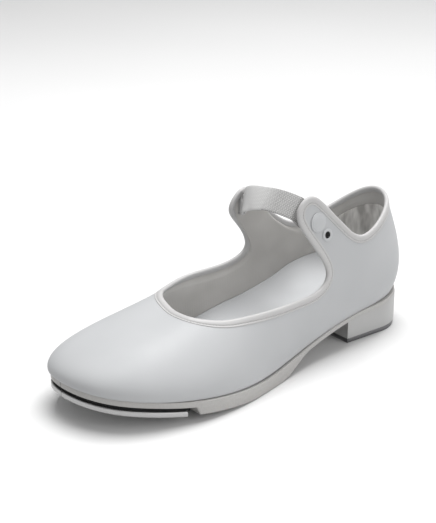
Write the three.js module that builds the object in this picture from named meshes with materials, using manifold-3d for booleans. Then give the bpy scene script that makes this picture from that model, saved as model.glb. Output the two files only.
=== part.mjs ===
// Left tap shoe with an elastic snap strap. Millimetres, +Z up.
// Toe towards -Y, outer (lateral) side of the foot towards +X.
// Origin on the floor, under the middle of the heel tap.
import * as THREE from 'three';
import { mergeVertices } from 'three/addons/utils/BufferGeometryUtils.js';
import Module from 'manifold-3d';

const wasm = await Module();
wasm.setup();

// ---- driving dimensions -------------------------------------------------
const lengthScale = 1;            // foot length against the drawn last
const widthScale = 1;             // foot width against the drawn last
const gap = 0.3;                  // clearance between touching pieces
const soleRest = 8.2;             // sole top at the ball, above the floor
const toeSpring = 14.9;           // rise of the sole top from ball to toe
const heelSeatRise = 15.0;        // rise of the sole top from ball to heel seat
const upperThickness = 1.2;
const stiffenerThickness = 0.6;
const liningThickness = 0.6;
const backingMargin = 1.0;        // cloth backing stands back from the slot
const gripThickness = 0.6;
const lastingMargin = 11;         // upper turned in under the insole
const boardThickness = 1.7;
const sockThickness = 1.0;
const cushionThickness = 1.5;
const fillerHeight = 2.6;
const shankWidth = 12;
const shankThickness = 2.0;
const bindingThickness = 0.7;
const bindingOuterWidth = 4.0;
const bindingInnerWidth = 2.6;
const soleForeThickness = 3.4;    // sole above the toe tap
const soleWaistThickness = 2.3;
const boardSpacer = 1.8;          // fibre board over the toe tap
const toeTapThickness = 3.4;
const toeTapRear = -167;
const soleOverhang = 1.2;         // sole edge beyond the feather line
const seatOverhang = 0.9;         // further overhang round the heel seat
const tapOverhang = 0.4;
const soleToeTuck = 2.4;          // sole drawn in under the toe of the upper
const tapToeTuck = 1.6;
const spacerInset = 0.9;
const soleStep = -160;            // rear wall of the recess for the toe tap
const treadFlatFront = -119;      // flat stretch of tread that meets the floor
const treadFlatRear = -95;
const heelTapThickness = 3.0;
const heelTapInset = 0.4;
const heelFront = -24.5;
const heelHalfWidth = 25;
const heelRoundCentre = 6;
const screwHeadRadius = 3.2;
const screwRadius = 1.4;
const heelScrewLength = 12;
const strapWidth = 15.5;
const strapThickness = 1.2;
const snapCapRadius = 6.2;
const snapStandOff = 7.0;         // strap centre line to the outer face of the ear
const studRadius = 1.9;
const socketRadius = 5.2;
const socketBore = 3.1;
const postRadius = 1.2;
const eyeletBore = 2.0;
const eyeletWall = 0.5;
const eyeletFlange = 4.0;
const slotPinch = 10.4;           // strap width where it passes the slot
const slotLength = slotPinch + 2 * gap;
const slotWidth = 3.6;

// ---- colours --------------------------------------------------------------
const leatherGrey = 0xbfc1c3;
const bindingGrey = 0xcac8c5;
const liningGrey = 0xa09b94;
const insoleGrey = 0xc6c8c9;
const soleGrey = 0xb4b4b4;
const fibreBlack = 0x141414;
const tapMetal = 0xc8c8c8;
const heelTapGrey = 0x6b6b6d;
const elasticGrey = 0xc9c7c5;
const brass = 0xb8a15a;
const steel = 0x9a9c9f;
const boardTan = 0xb39b78;
const foamCream = 0xd8d2c4;
const corkBrown = 0x9c7b52;

// ---- the last: a closed row of side-wall curves ---------------------------
// Each station gives one wall curve from the feather edge (sole line) up to the crown:
// foot x, y | rise and bulge of the lower handle | reach and drop of the upper handle | crown x, y, z
const stations = [
  [-9, -219, 15, 5, 50, 10, -1, -131, 51],
  [12, -215.5, 15, 5, 46, 10, 7, -130, 52],
  [30, -203, 15, 5, 40, 10, 12, -126, 54],
  [42, -178, 14, 4, 30, 13, 16, -120, 57],
  [47, -150, 14, 3, 22, 18, 20, -110, 62],
  [45, -120, 15, 3, 14, 24, 23, -96, 78],
  [36, -89, 20, 3, 7, 32, 26, -76, 97],
  [30, -57, 28, 4, 4, 34, 25.5, -49, 105],
  [29, -22, 27, 5, 4, 30, 24, -17, 98],
  [27, 15.5, 20, 11, 5, 24, 18.5, 12, 94],
  [0, 35, 18, 19, 8, 20, 0, 26.5, 91],
  [-27, 15.5, 20, 11, 5, 24, -18.5, 12, 94],
  [-29, -22, 27, 5, 4, 30, -24, -17, 98],
  [-27, -57, 28, 4, 4, 34, -25.5, -49, 105],
  [-31, -89, 20, 3, 7, 32, -26, -76, 97],
  [-39, -120, 15, 3, 14, 24, -24, -96, 78],
  [-45, -148, 14, 3, 22, 18, -20, -110, 62],
  [-45, -176, 14, 4, 30, 13, -17, -120, 57],
  [-39.5, -199, 15, 5, 40, 10, -13, -126, 54],
  [-27, -215, 15, 5, 46, 10, -8, -130, 52],
];

// The topline: station, share of the wall height, and the station its grid line starts from.
const topline = [
  [0, 0.915, 0], [1.3, 0.885, 0.9], [2.5, 0.815, 1.8], [3.5, 0.75, 2.7],
  [4.4, 0.67, 3.6], [5.1, 0.58, 4.4], [5.75, 0.5, 5.15], [6.35, 0.43, 5.8],
  [6.85, 0.375, 6.45], [7.15, 0.42, 7.05], [7.15, 0.53, 7.48], [6.85, 0.68, 7.6],
  [6.48, 0.83, 7.68], [6.14, 0.975, 7.73], [6.24, 1.05, 7.77], [6.6, 1.055, 7.81],
  [6.96, 0.965, 7.87], [7.28, 0.87, 7.95], [7.57, 0.785, 8.06], [7.82, 0.7, 8.2],
  [8.08, 0.66, 8.4], [8.42, 0.71, 8.68], [8.82, 0.8, 9.05], [9.35, 0.885, 9.5],
  [10, 0.945, 10], [10.5, 0.905, 10.5], [10.95, 0.8, 10.95], [11.4, 0.69, 11.3],
  [11.82, 0.605, 11.57], [12.16, 0.605, 11.78], [12.46, 0.655, 11.95], [12.75, 0.73, 12.12],
  [13.04, 0.805, 12.3], [13.36, 0.95, 12.41], [13.87, 1.05, 12.49], [14.3, 1.02, 12.56],
  [14.1, 0.9, 12.63], [13.6, 0.74, 12.7], [13.3, 0.58, 12.9], [13.45, 0.51, 13.35],
  [13.95, 0.52, 13.97], [14.6, 0.59, 14.6], [15.4, 0.68, 15.3], [16.3, 0.78, 16.2],
  [17.4, 0.865, 17.2], [18.6, 0.905, 18.3], [19.3, 0.915, 19.2],
];
const gridBend = 2.2;             // how late a grid line leans over to its topline point
const around = 72;                // wall sections round the shoe
const levels = [0, 0.1, 0.24, 0.42, 0.6, 0.76, 0.88, 1];

const clamp = (v, a, b) => Math.min(Math.max(v, a), b);
const smooth = (a, b, v) => {
  const t = clamp((v - a) / (b - a), 0, 1);
  return t * t * (3 - 2 * t);
};
const vec = (x, y, z) => new THREE.Vector3(x, y, z);
const drawnY = (y) => (y < 0 ? y / lengthScale : y);

// Height of the feather edge: low at the ball, rising to the toe and to the heel seat.
function featherZ(y) {
  const v = drawnY(y);
  const toe = toeSpring * (Math.max(-108 - v, 0) / 110) ** 1.4;
  return soleRest + toe + heelSeatRise * smooth(-106, -8, v) + 1.8 * smooth(-10, 32, v);
}

// Uniform cubic B-spline through a closed row of number rows; wrap adds a turn to periodic columns.
function spline(rows, place, period = []) {
  const n = rows.length;
  const i = Math.floor(place);
  const t = place - i;
  const weights = [(1 - t) ** 3, 3 * t ** 3 - 6 * t * t + 4, -3 * t ** 3 + 3 * t * t + 3 * t + 1, t ** 3];
  const out = new Array(rows[0].length).fill(0);
  weights.forEach((w, k) => {
    const j = i + k - 1;
    const turn = Math.floor(j / n);
    rows[j - turn * n].forEach((v, c) => { out[c] += (w / 6) * (v + turn * (period[c] ?? 0)); });
  });
  return out;
}

// Four control points of each station's wall curve, as one row of twelve numbers.
const count = stations.length;
const feet = stations.map(([x, y]) => vec(x * widthScale, y < 0 ? y * lengthScale : y, 0));
feet.forEach((p) => { p.z = featherZ(p.y); });
const wallRows = stations.map((row, k) => {
  const [, , rise, bulge, reach, drop, cx, cy, cz] = row;
  const foot = feet[k];
  const along = feet[(k + 1) % count].clone().sub(feet[(k + count - 1) % count]);
  const outward = vec(along.y, -along.x, 0).normalize();
  const low = foot.clone().addScaledVector(outward, bulge).add(vec(0, 0, rise));
  const crown = vec(cx * widthScale, cy < 0 ? cy * lengthScale : cy, cz);
  const lean = vec(foot.x - crown.x, foot.y - crown.y, 0).normalize();
  const high = crown.clone().addScaledVector(lean, reach).sub(vec(0, 0, drop));
  return [...foot.toArray(), ...low.toArray(), ...high.toArray(), ...crown.toArray()];
});

// Point of the outer surface at a station and a share of the wall height.
function lastPoint(station, h) {
  const r = spline(wallRows, station);
  const b = [(1 - h) ** 3, 3 * h * (1 - h) ** 2, 3 * h * h * (1 - h), h ** 3];
  return vec(
    b[0] * r[0] + b[1] * r[3] + b[2] * r[6] + b[3] * r[9],
    b[0] * r[1] + b[1] * r[4] + b[2] * r[7] + b[3] * r[10],
    b[0] * r[2] + b[1] * r[5] + b[2] * r[8] + b[3] * r[11],
  );
}
function lastNormal(station, h) {
  const e = 0.01;
  const du = lastPoint(station + e, h).sub(lastPoint(station - e, h));
  const dh = lastPoint(station, h + e).sub(lastPoint(station, h - e));
  return du.cross(dh).normalize();
}
const inside = (station, h, depth) => lastPoint(station, h).addScaledVector(lastNormal(station, h), -depth);

// Grid of the upper: place runs round the topline rows, t from the feather (0) to the topline (1).
function gridPoint(place, t) {
  const [station, share, start] = spline(topline, place, [count, 0, count]);
  return [start + (station - start) * t ** gridBend, share * t];
}
function wallPoint(place, t, depth) {
  const [station, h] = gridPoint(place, t);
  return inside(station, h, depth);
}
// Corner and inner end of the margin that is turned in under the insole.
function marginPoint(place, inward, depth) {
  const [station] = gridPoint(place, 0);
  const foot = lastPoint(station, 0);
  const along = lastPoint(station + 0.05, 0).sub(lastPoint(station - 0.05, 0));
  const inwards = vec(-along.y, along.x, 0).normalize();
  const p = foot.addScaledVector(inwards, inward);
  p.z = featherZ(p.y) + depth;
  return p;
}

// ---- solids ---------------------------------------------------------------
function meshFrom(name, positions, indices, colour, roughness, metalness) {
  const geometry = new THREE.BufferGeometry();
  geometry.setAttribute('position', new THREE.Float32BufferAttribute(positions, 3));
  geometry.setIndex(indices);
  const material = new THREE.MeshStandardMaterial({ color: colour, roughness, metalness });
  const mesh = new THREE.Mesh(geometry, material);
  mesh.name = name;
  return mesh;
}

// Loft through sections of matching points. Each section is an outer row and an inner row;
// the ring closes on itself when closed is true, otherwise both ends are capped.
function loftGeometry(sections, closed) {
  const rowLength = sections[0].outer.length;
  const loopLength = 2 * rowLength;
  const positions = [];
  sections.forEach(({ outer, inner }) => {
    [...outer, ...[...inner].reverse()].forEach((p) => positions.push(p.x, p.y, p.z));
  });
  const indices = [];
  const quad = (a, b, c, d) => indices.push(a, b, c, a, c, d);
  const spans = closed ? sections.length : sections.length - 1;
  for (let i = 0; i < spans; i += 1) {
    const here = i * loopLength;
    const next = ((i + 1) % sections.length) * loopLength;
    for (let k = 0; k < loopLength; k += 1) {
      const k2 = (k + 1) % loopLength;
      if (k < rowLength) quad(here + k, next + k, next + k2, here + k2);
      else quad(next + k, next + k2, here + k2, here + k);
    }
  }
  if (!closed) {
    const last = (sections.length - 1) * loopLength;
    for (let k = 0; k < rowLength - 1; k += 1) {
      const far = loopLength - 1 - k;
      quad(k, k + 1, far - 1, far);
      quad(last + k, last + far, last + far - 1, last + k + 1);
    }
  }
  const geometry = new THREE.BufferGeometry();
  geometry.setAttribute('position', new THREE.Float32BufferAttribute(positions, 3));
  geometry.setIndex(indices);
  return outwards(geometry);
}

// Turns a closed geometry right side out.
function outwards(geometry) {
  const p = geometry.getAttribute('position');
  const index = geometry.getIndex();
  let volume = 0;
  const [a, b, c] = [vec(0, 0, 0), vec(0, 0, 0), vec(0, 0, 0)];
  for (let i = 0; i < index.count; i += 3) {
    a.fromBufferAttribute(p, index.getX(i));
    b.fromBufferAttribute(p, index.getX(i + 1));
    c.fromBufferAttribute(p, index.getX(i + 2));
    volume += a.dot(b.cross(c));
  }
  if (volume < 0) {
    const turned = Array.from(index.array);
    for (let i = 0; i < turned.length; i += 3) [turned[i], turned[i + 1]] = [turned[i + 1], turned[i]];
    geometry.setIndex(turned);
  }
  return geometry;
}

function cleaned(geometry) {
  const bare = geometry.clone();
  bare.deleteAttribute('normal');
  bare.deleteAttribute('uv');
  return mergeVertices(bare, 1e-4);
}
function solidOf(geometry) {
  const g = cleaned(geometry);
  const mesh = new wasm.Mesh({
    numProp: 3,
    vertProperties: new Float32Array(g.getAttribute('position').array),
    triVerts: new Uint32Array(g.getIndex().array),
  });
  return new wasm.Manifold(mesh);
}
function geometryOf(solid) {
  const { vertProperties, triVerts, numProp } = solid.getMesh();
  const positions = [];
  for (let i = 0; i < vertProperties.length; i += numProp) {
    positions.push(vertProperties[i], vertProperties[i + 1], vertProperties[i + 2]);
  }
  const geometry = new THREE.BufferGeometry();
  geometry.setAttribute('position', new THREE.Float32BufferAttribute(positions, 3));
  geometry.setIndex(Array.from(triVerts));
  return geometry;
}
function cut(geometry, cutters) {
  const solid = cutters.reduce((rest, cutter) => rest.subtract(solidOf(cutter)), solidOf(geometry));
  return geometryOf(solid);
}

const group = new THREE.Group();
function add(name, geometry, colour, roughness = 0.6, metalness = 0) {
  const g = cleaned(geometry);
  group.add(meshFrom(name, Array.from(g.getAttribute('position').array), Array.from(g.getIndex().array),
    colour, roughness, metalness));
}

// Cylinder or turned profile set along an axis: profile pairs are [radius, distance along axis].
function turned(profile, origin, axis, segments = 16) {
  const points = profile.map(([r, z]) => new THREE.Vector2(r, z));
  const geometry = new THREE.LatheGeometry(points, segments);
  geometry.applyQuaternion(new THREE.Quaternion().setFromUnitVectors(vec(0, 1, 0), axis.clone().normalize()));
  geometry.translate(origin.x, origin.y, origin.z);
  return outwards(cleaned(geometry));
}
const rod = (radius, from, to, origin, axis, segments = 12) => turned(
  [[0, from], [radius, from], [radius, to], [0, to]], origin, axis, segments);

// ---- wall layers ------------------------------------------------------------
const stiffenerDepth = upperThickness + gap;
const liningDepth = stiffenerDepth + stiffenerThickness + gap;
const liningInner = liningDepth + liningThickness;
const rimTuck = 0.88;             // above this level the lining is drawn in to the upper
const tucked = (t) => clamp((t - rimTuck) / (1 - rimTuck), 0, 1);
const liningFace = (t) => liningDepth + (stiffenerDepth - liningDepth) * tucked(t);

// One wall section: outer row from the margin end up to the top level, and the same row deeper.
function wallSection(place, outerDepth, thickness, rows, margin) {
  const row = (extra) => {
    const points = rows.filter((t) => t > 0).map((t) => wallPoint(place, t, outerDepth(t) + extra));
    const base = outerDepth(0) + extra;
    if (margin > 0) return [marginPoint(place, margin, base), marginPoint(place, base, base), ...points];
    return [wallPoint(place, rows[0], outerDepth(rows[0]) + extra), ...points.slice(rows[0] > 0 ? 1 : 0)];
  };
  return { outer: row(0), inner: row(thickness) };
}
const ringPlaces = Array.from({ length: around }, (_, i) => (i * topline.length) / around);
const placesBetween = (from, to) => ringPlaces
  .concat(ringPlaces.map((p) => p + topline.length))
  .filter((p) => p >= from && p <= to);

// ---- the snap's frame on the lateral ear ------------------------------------
const snapStation = 6.8;
const snapShare = 0.868;
const snapOrigin = lastPoint(snapStation, snapShare);
const snapNormal = lastNormal(snapStation, snapShare);
const widthGuess = vec(0, -0.7, -0.714);
const strapAcross = widthGuess.clone().addScaledVector(snapNormal, -widthGuess.dot(snapNormal)).normalize();
const strapUp = strapAcross.clone().cross(snapNormal).normalize();
// Point in the strap's plane: a outwards from the ear's face, q up the ear from the snap, w across.
const strapPoint = (a, q, w = 0) => snapOrigin.clone()
  .addScaledVector(snapNormal, a).addScaledVector(strapUp, q).addScaledVector(strapAcross, w);

const eyeletStation = 7.07;
const eyeletShare = 0.762;
const eyeletOrigin = lastPoint(eyeletStation, eyeletShare);
const eyeletNormal = lastNormal(eyeletStation, eyeletShare);

const wallHole = (radius, origin, normal) => rod(radius, -8, 3, origin, normal, 14);
const snapHole = wallHole(postRadius + gap, snapOrigin, snapNormal);
const eyeletHole = wallHole(eyeletBore + eyeletWall + gap, eyeletOrigin, eyeletNormal);

// Slot through the medial ear for the elastic.
const slotStation = 13.74;
const slotShare = 0.905;
const slotOrigin = lastPoint(slotStation, slotShare);
const slotNormal = lastNormal(slotStation, slotShare);
const slotAlong = vec(0, -0.08, -1).addScaledVector(slotNormal, slotNormal.z).normalize();
const slotSide = slotNormal.clone().cross(slotAlong).normalize();
function orientedBox(origin, x, y, z, sizeX, sizeY, sizeZ) {
  const box = new THREE.BoxGeometry(sizeX, sizeY, sizeZ);
  box.applyMatrix4(new THREE.Matrix4().makeBasis(x, y, z).setPosition(origin));
  return outwards(cleaned(box));
}
const slotCut = (around) => orientedBox(slotOrigin, slotNormal, slotAlong, slotSide, 14,
  slotLength + 2 * around, slotWidth + 2 * around);
const slotCutter = slotCut(0);

// ---- upper, lining, stiffeners -----------------------------------------------
const wallCutters = [snapHole, eyeletHole, slotCutter];
function wallLayer(name, outerDepth, thickness, colour, roughness) {
  const sections = ringPlaces.map((p) => wallSection(p, outerDepth, thickness, levels, lastingMargin));
  add(name, cut(loftGeometry(sections, true), wallCutters), colour, roughness);
}
wallLayer('outer_upper', () => 0, upperThickness, leatherGrey, 0.45);
wallLayer('upper_lining', liningFace, liningThickness, liningGrey, 0.85);

function stiffener(name, from, to, rows, margin, colour, cutters = []) {
  const sections = placesBetween(from, to)
    .map((p) => wallSection(p, () => stiffenerDepth, stiffenerThickness, rows, margin));
  const geometry = loftGeometry(sections, false);
  add(name, cutters.length ? cut(geometry, cutters) : geometry, colour, 0.8);
}
stiffener('heel_counter', 19, 29, [0, 0.1, 0.24, 0.42, 0.6, 0.76], lastingMargin, boardTan);
stiffener('toe_puff', 42, 52, [0, 0.1, 0.24, 0.42], lastingMargin, boardTan);
const earLevels = levels.filter((t) => t >= 0.6 && t < 1);
stiffener('ear_reinforcement_lateral', 12, 16.6, earLevels, 0, elasticGrey, [snapHole, eyeletHole]);
stiffener('ear_reinforcement_medial', 31.6, 36.6, earLevels, 0, elasticGrey, [slotCut(backingMargin)]);

const gripDepth = liningInner + gap;
const gripLevels = levels.filter((t) => t >= 0.24 && t <= rimTuck);
const gripSections = placesBetween(20.4, 27.6)
  .map((p) => wallSection(p, () => gripDepth, gripThickness, gripLevels, 0));
add('heel_grip_lining', loftGeometry(gripSections, false), insoleGrey, 0.8);

// Point a distance below the topline, square to it in the wall's surface, and at a depth.
function edgePoint(place, below, depth) {
  const [station, h] = gridPoint(place, 1);
  const e = 0.01;
  const du = lastPoint(station + e, h).sub(lastPoint(station - e, h)).divideScalar(2 * e);
  const dh = lastPoint(station, h + e).sub(lastPoint(station, h - e)).divideScalar(2 * e);
  const along = wallPoint(place + 0.05, 1, 0).sub(wallPoint(place - 0.05, 1, 0));
  const down = along.cross(du.clone().cross(dh)).normalize().multiplyScalar(below);
  const [uu, uh, hh] = [du.dot(du), du.dot(dh), dh.dot(dh)];
  const [bu, bh] = [down.dot(du), down.dot(dh)];
  const scale = uu * hh - uh * uh;
  return inside(station + (bu * hh - bh * uh) / scale, h + (bh * uu - bu * uh) / scale, depth);
}
// Binding: a folded strip over the topline, outer flange, roll and inner flange.
function bindingSection(place) {
  const at = (below, depth) => edgePoint(place, below, depth);
  const out = gap + bindingThickness;
  return {
    outer: [at(bindingOuterWidth, -out), at(0, -out), at(-out, -gap), at(-out, liningInner + gap),
      at(0, liningInner + out), at(bindingInnerWidth, liningInner + out)],
    inner: [at(bindingOuterWidth, -gap), at(0, -gap), at(-gap, -gap), at(-gap, liningInner + gap),
      at(0, liningInner + gap), at(bindingInnerWidth, liningInner + gap)],
  };
}
add('topline_binding', loftGeometry(ringPlaces.map(bindingSection), true), bindingGrey, 0.5);

// ---- bottom: outlines inset from the feather edge -----------------------------
// Rows of [medial x, lateral x] at a given y, for the feather outline moved inwards; toeTuck is a
// further move under the low toe, and heelTuck one round the heel seat.
function outline(inset, toeTuck = 0, heelTuck = 0) {
  const points = [];
  for (let i = 0; i < 720; i += 1) {
    const station = (i * count) / 720;
    const p = lastPoint(station, 0);
    const along = lastPoint(station + 0.05, 0).sub(lastPoint(station - 0.05, 0));
    const v = drawnY(p.y);
    const toeMove = toeTuck * lengthScale * smooth(-150, -195, v);
    const inwards = inset + toeMove + heelTuck * smooth(-20, 10, v);
    points.push(p.add(vec(-along.y, along.x, 0).normalize().multiplyScalar(inwards)));
  }
  const toe = Math.min(...points.map((p) => p.y));
  const heel = Math.max(...points.map((p) => p.y));
  const sides = (y) => {
    const hits = [];
    points.forEach((p, i) => {
      const q = points[(i + 1) % points.length];
      if ((p.y - y) * (q.y - y) <= 0 && p.y !== q.y) hits.push(p.x + ((q.x - p.x) * (y - p.y)) / (q.y - p.y));
    });
    return [Math.min(...hits), Math.max(...hits)];
  };
  return { toe, heel, sides };
}
// Plate between two heights over a stretch of an outline, lofted along the foot. Heights are
// functions of y and of the share across the foot, from 0 at the inner side to 1 at the outer.
function plate(edge, from, to, top, bottom, extra = [], steps = 14, shares = [0, 1]) {
  const start = Math.max(from, edge.toe + 0.15);
  const end = Math.min(to, edge.heel - 0.15);
  const places = extra.filter((y) => y > start && y < end);
  for (let i = 0; i <= steps; i += 1) {
    const t = i / steps;
    places.push(start + (end - start) * (t - Math.sin(2 * Math.PI * t) / (2 * Math.PI) * 0.9));
  }
  places.sort((a, b) => a - b);
  const kept = places.filter((y, i) => i === 0 || y - places[i - 1] > 0.04);
  return loftGeometry(kept.map((y) => {
    const [left, right] = edge.sides(y);
    const row = (height) => shares.map((f) => vec(left + (right - left) * f, y, height(y, f)));
    return { outer: row(top), inner: row(bottom) };
  }), false);
}

const boardToeTuck = 1.6;
const sockToeTuck = 3.6;
const padInset = 11;
const insideEdge = outline(liningInner + 2 * gap, boardToeTuck);
const boardBase = liningInner + gap;
const boardTop = boardBase + boardThickness;
const above = (offset) => (y) => featherZ(y) + offset;
const insoleBoard = plate(insideEdge, -400, 100, above(boardTop), above(boardBase), [], 22);
add('insole_board', insoleBoard, boardTan, 0.8);

const padFrom = -24;
const padTo = 18;
const sockLift = (y) => boardTop + gap + (cushionThickness + gap) * smooth(padFrom - 22, padFrom - 3, y);
const sockEdge = outline(liningInner + 3 * gap, sockToeTuck);
// The moulded footbed rises along the sides of the foot, more on the inner side.
const cupRise = 11;
const outerCup = 0.6;
const cupShares = [0, 0.15, 0.35, 0.5, 0.65, 0.85, 1];
const cupShape = (f) => (f < 0.5 ? 1 : outerCup) * Math.abs(2 * f - 1) ** 2.2;
const cup = (y, f) => cupRise * smooth(-135, -80, drawnY(y)) * (1 - 0.75 * smooth(-2, 16, y)) * cupShape(f);
const sockBase = (y) => featherZ(y) + sockLift(y);
const sockRows = [padFrom - 18, padFrom - 12, padFrom - 6];
const sock = plate(sockEdge, -400, 22, (y, f) => sockBase(y) + sockThickness + cup(y, f), sockBase,
  sockRows, 22, cupShares);
add('sock_liner', sock, insoleGrey, 0.7);
const padBase = boardTop + gap;
const pad = plate(outline(padInset), padFrom, padTo, above(padBase + cushionThickness), above(padBase));
add('heel_cushion', pad, foamCream, 0.9);

const fillerEdge = outline(lastingMargin + 3 * gap);
const fillerRear = -99 * lengthScale;
const filler = plate(fillerEdge, -400, fillerRear, above(gap + fillerHeight), above(gap));
add('bottom_filler', filler, corkBrown, 0.9);
const shankEdge = { toe: fillerRear + 2, heel: 6, sides: () => [-shankWidth / 2, shankWidth / 2] };
const shankBar = plate(shankEdge, -400, 100, above(2 * gap + shankThickness), above(2 * gap));
add('shank', shankBar, steel, 0.4, 0.9);

// ---- outsole, toe tap ----------------------------------------------------------
const soleTop = above(-gap);
function soleBottom(y) {
  const v = drawnY(y);
  if (v < soleStep) return soleTop(y) - soleForeThickness;
  const tread = 0.0655 * Math.max(treadFlatFront - v, 0) ** 1.15;
  const thin = soleTop(y) - soleWaistThickness;
  return tread + (thin - tread) * smooth(treadFlatRear, treadFlatRear + 30, v);
}
const soleEdge = outline(-soleOverhang, soleToeTuck, -seatOverhang);
const stepY = soleStep * lengthScale;
const soleExtra = [stepY, stepY - 0.15, treadFlatFront * lengthScale, treadFlatRear * lengthScale,
  -80 * lengthScale, -65 * lengthScale];
const soleSolid = plate(soleEdge, -400, 100, soleTop, soleBottom, soleExtra, 30);

const spacerTop = (y) => soleTop(y) - soleForeThickness - gap;
const tapTop = (y) => spacerTop(y) - boardSpacer - gap;
const tapBottom = (y) => tapTop(y) - toeTapThickness;
const spacerEdge = outline(spacerInset, tapToeTuck);
const tapEdge = outline(-tapOverhang, tapToeTuck);
const tapRearY = toeTapRear * lengthScale;
const spacerSolid = plate(spacerEdge, -400, tapRearY + 2, spacerTop, (y) => spacerTop(y) - boardSpacer);
const tapSolid = plate(tapEdge, -400, tapRearY, tapTop, tapBottom);

// Countersunk screws driven up from below, square to the sloping tap.
const screwSlope = (y) => Math.atan2(tapBottom(y + 1) - tapBottom(y - 1), 2);
const toeScrewLength = toeTapThickness + boardSpacer + soleForeThickness - 1.2;
const toeScrews = [[-20, -178], [22, -178], [0, -204]].map(([x, y]) => {
  const scaledY = y * lengthScale;
  const slope = screwSlope(scaledY);
  return {
    origin: vec(x * widthScale, scaledY, tapBottom(scaledY)),
    axis: vec(0, -Math.sin(slope), Math.cos(slope)),
    length: toeScrewLength,
  };
});
const heelBlockBase = heelTapThickness + gap;
const heelScrews = [[-15, -15], [15, -15], [0, 20]].map(([x, y]) => ({
  origin: vec(x, y, 0), axis: vec(0, 0, 1), length: heelScrewLength,
}));
const screwHead = 2.0;
const screwCutter = ({ origin, axis, length }) => turned([
  [0, -1],
  [screwHeadRadius + gap, -1],
  [screwHeadRadius + gap, gap],
  [screwRadius + gap, screwHead + gap],
  [screwRadius + gap, length + gap],
  [0, length + gap],
], origin, axis, 12);
const screwSolid = ({ origin, axis, length }) => turned([
  [0, gap],
  [screwHeadRadius, gap],
  [screwHeadRadius, gap + 0.1],
  [screwRadius, screwHead],
  [screwRadius, length - 1.5],
  [0, length],
], origin, axis, 12);
const toeCutters = toeScrews.map(screwCutter);
const heelCutters = heelScrews.map(screwCutter);
add('outsole', cut(soleSolid, toeCutters), soleGrey, 0.7);
add('toe_tap_board', cut(spacerSolid, toeCutters), fibreBlack, 0.8);
add('toe_tap_plate', cut(tapSolid, toeCutters), tapMetal, 0.3, 0.9);
toeScrews.forEach((screw, i) => add(`toe_tap_screw_${i + 1}`, screwSolid(screw), steel, 0.35, 0.9));

// ---- heel: a D-shaped block under the seat, and its tap ------------------------
function heelOutline(inset) {
  const front = heelFront + inset;
  const radius = heelHalfWidth - inset;
  const frontHalf = heelHalfWidth - 1 - inset;
  return {
    toe: front - 0.15,
    heel: heelRoundCentre + radius,
    sides: (y) => {
      const t = clamp((y - front) / (heelRoundCentre - front), 0, 1);
      const half = y < heelRoundCentre ? frontHalf + (radius - frontHalf) * t
        : Math.sqrt(Math.max(radius ** 2 - (y - heelRoundCentre) ** 2, 0));
      return [-half, half];
    },
  };
}
const seatUnder = (y) => soleTop(y) - soleWaistThickness - gap;
const blockSolid = plate(heelOutline(0), -400, 100, seatUnder, () => heelBlockBase, [heelRoundCentre], 18);
add('heel_block', cut(blockSolid, heelCutters), soleGrey, 0.6);
const heelTapEdge = heelOutline(heelTapInset);
const heelTapSolid = plate(heelTapEdge, -400, 100, () => heelTapThickness, () => 0, [heelRoundCentre], 18);
add('heel_tap_plate', cut(heelTapSolid, heelCutters), heelTapGrey, 0.35, 0.8);
heelScrews.forEach((screw, i) => add(`heel_tap_screw_${i + 1}`, screwSolid(screw), steel, 0.35, 0.9));

// ---- elastic strap ---------------------------------------------------------------
const half = strapThickness / 2;
const endReach = -5.5;            // free end, below the snap
const cornerUp = 13.5;            // axis where the strap end bends onto the ear
const corner = { a: -snapStandOff, q: cornerUp };
const crown = { a: -28.5, q: cornerUp + 5.5 };
const hingeGap = half + gap;
const foldGap = hingeGap + 0.2;       // room for the end to fold in under the bridge
// Band of rectangular sections along plane points, as one loft.
function band(points, normals, acrossRows, widths) {
  return loftGeometry(points.map((p, i) => {
    const side = acrossRows[i].clone().multiplyScalar(widths[i] / 2);
    const face = normals[i];
    return {
      outer: [p.clone().add(face).sub(side), p.clone().add(face).add(side)],
      inner: [p.clone().sub(face).sub(side), p.clone().sub(face).add(side)],
    };
  }), false);
}
// Bridge: an arc between the two hinge axes, with round ends about each axis.
function bridgeGeometry() {
  const rise = 1.6;
  const span = Math.hypot(crown.a - corner.a, crown.q - corner.q);
  const ux = (crown.a - corner.a) / span;
  const uq = (crown.q - corner.q) / span;
  const shape = new THREE.Shape();
  const place = (s, off) => {
    const bow = rise * Math.sin((Math.PI * s) / span);
    return [corner.a + ux * s + uq * (bow + off), corner.q + uq * s - ux * (bow + off)];
  };
  const steps = 6;
  const ring = [];
  for (let i = 0; i <= steps; i += 1) ring.push(place((span * i) / steps, half));
  for (let k = 1; k < 4; k += 1) {
    const turn = (Math.PI * k) / 4;
    ring.push(place(span + half * Math.sin(turn), half * Math.cos(turn)));
  }
  for (let i = steps; i >= 0; i -= 1) ring.push(place((span * i) / steps, -half));
  for (let k = 1; k < 4; k += 1) {
    const turn = (Math.PI * k) / 4;
    ring.push(place(-half * Math.sin(turn), -half * Math.cos(turn)));
  }
  ring.forEach(([a, q], i) => (i ? shape.lineTo(a, q) : shape.moveTo(a, q)));
  const geometry = new THREE.ExtrudeGeometry(shape, { depth: strapWidth, bevelEnabled: false });
  geometry.translate(0, 0, -strapWidth / 2);
  const frame = new THREE.Matrix4().makeBasis(snapNormal, strapUp, strapAcross);
  geometry.applyMatrix4(frame.setPosition(snapOrigin));
  return outwards(cleaned(geometry));
}
add('strap_bridge', bridgeGeometry(), elasticGrey, 0.85);

const endTop = corner.q - foldGap;
const endMiddle = (endTop + endReach) / 2;
const endSolid = orientedBox(strapPoint(-snapStandOff, endMiddle), snapNormal, strapUp, strapAcross,
  strapThickness, endTop - endReach, strapWidth);
const postHole = rod(postRadius + gap, -snapStandOff - 3, -snapStandOff + 3, snapOrigin, snapNormal);
add('strap_end', cut(endSolid, [postHole]), elasticGrey, 0.85);

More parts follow.
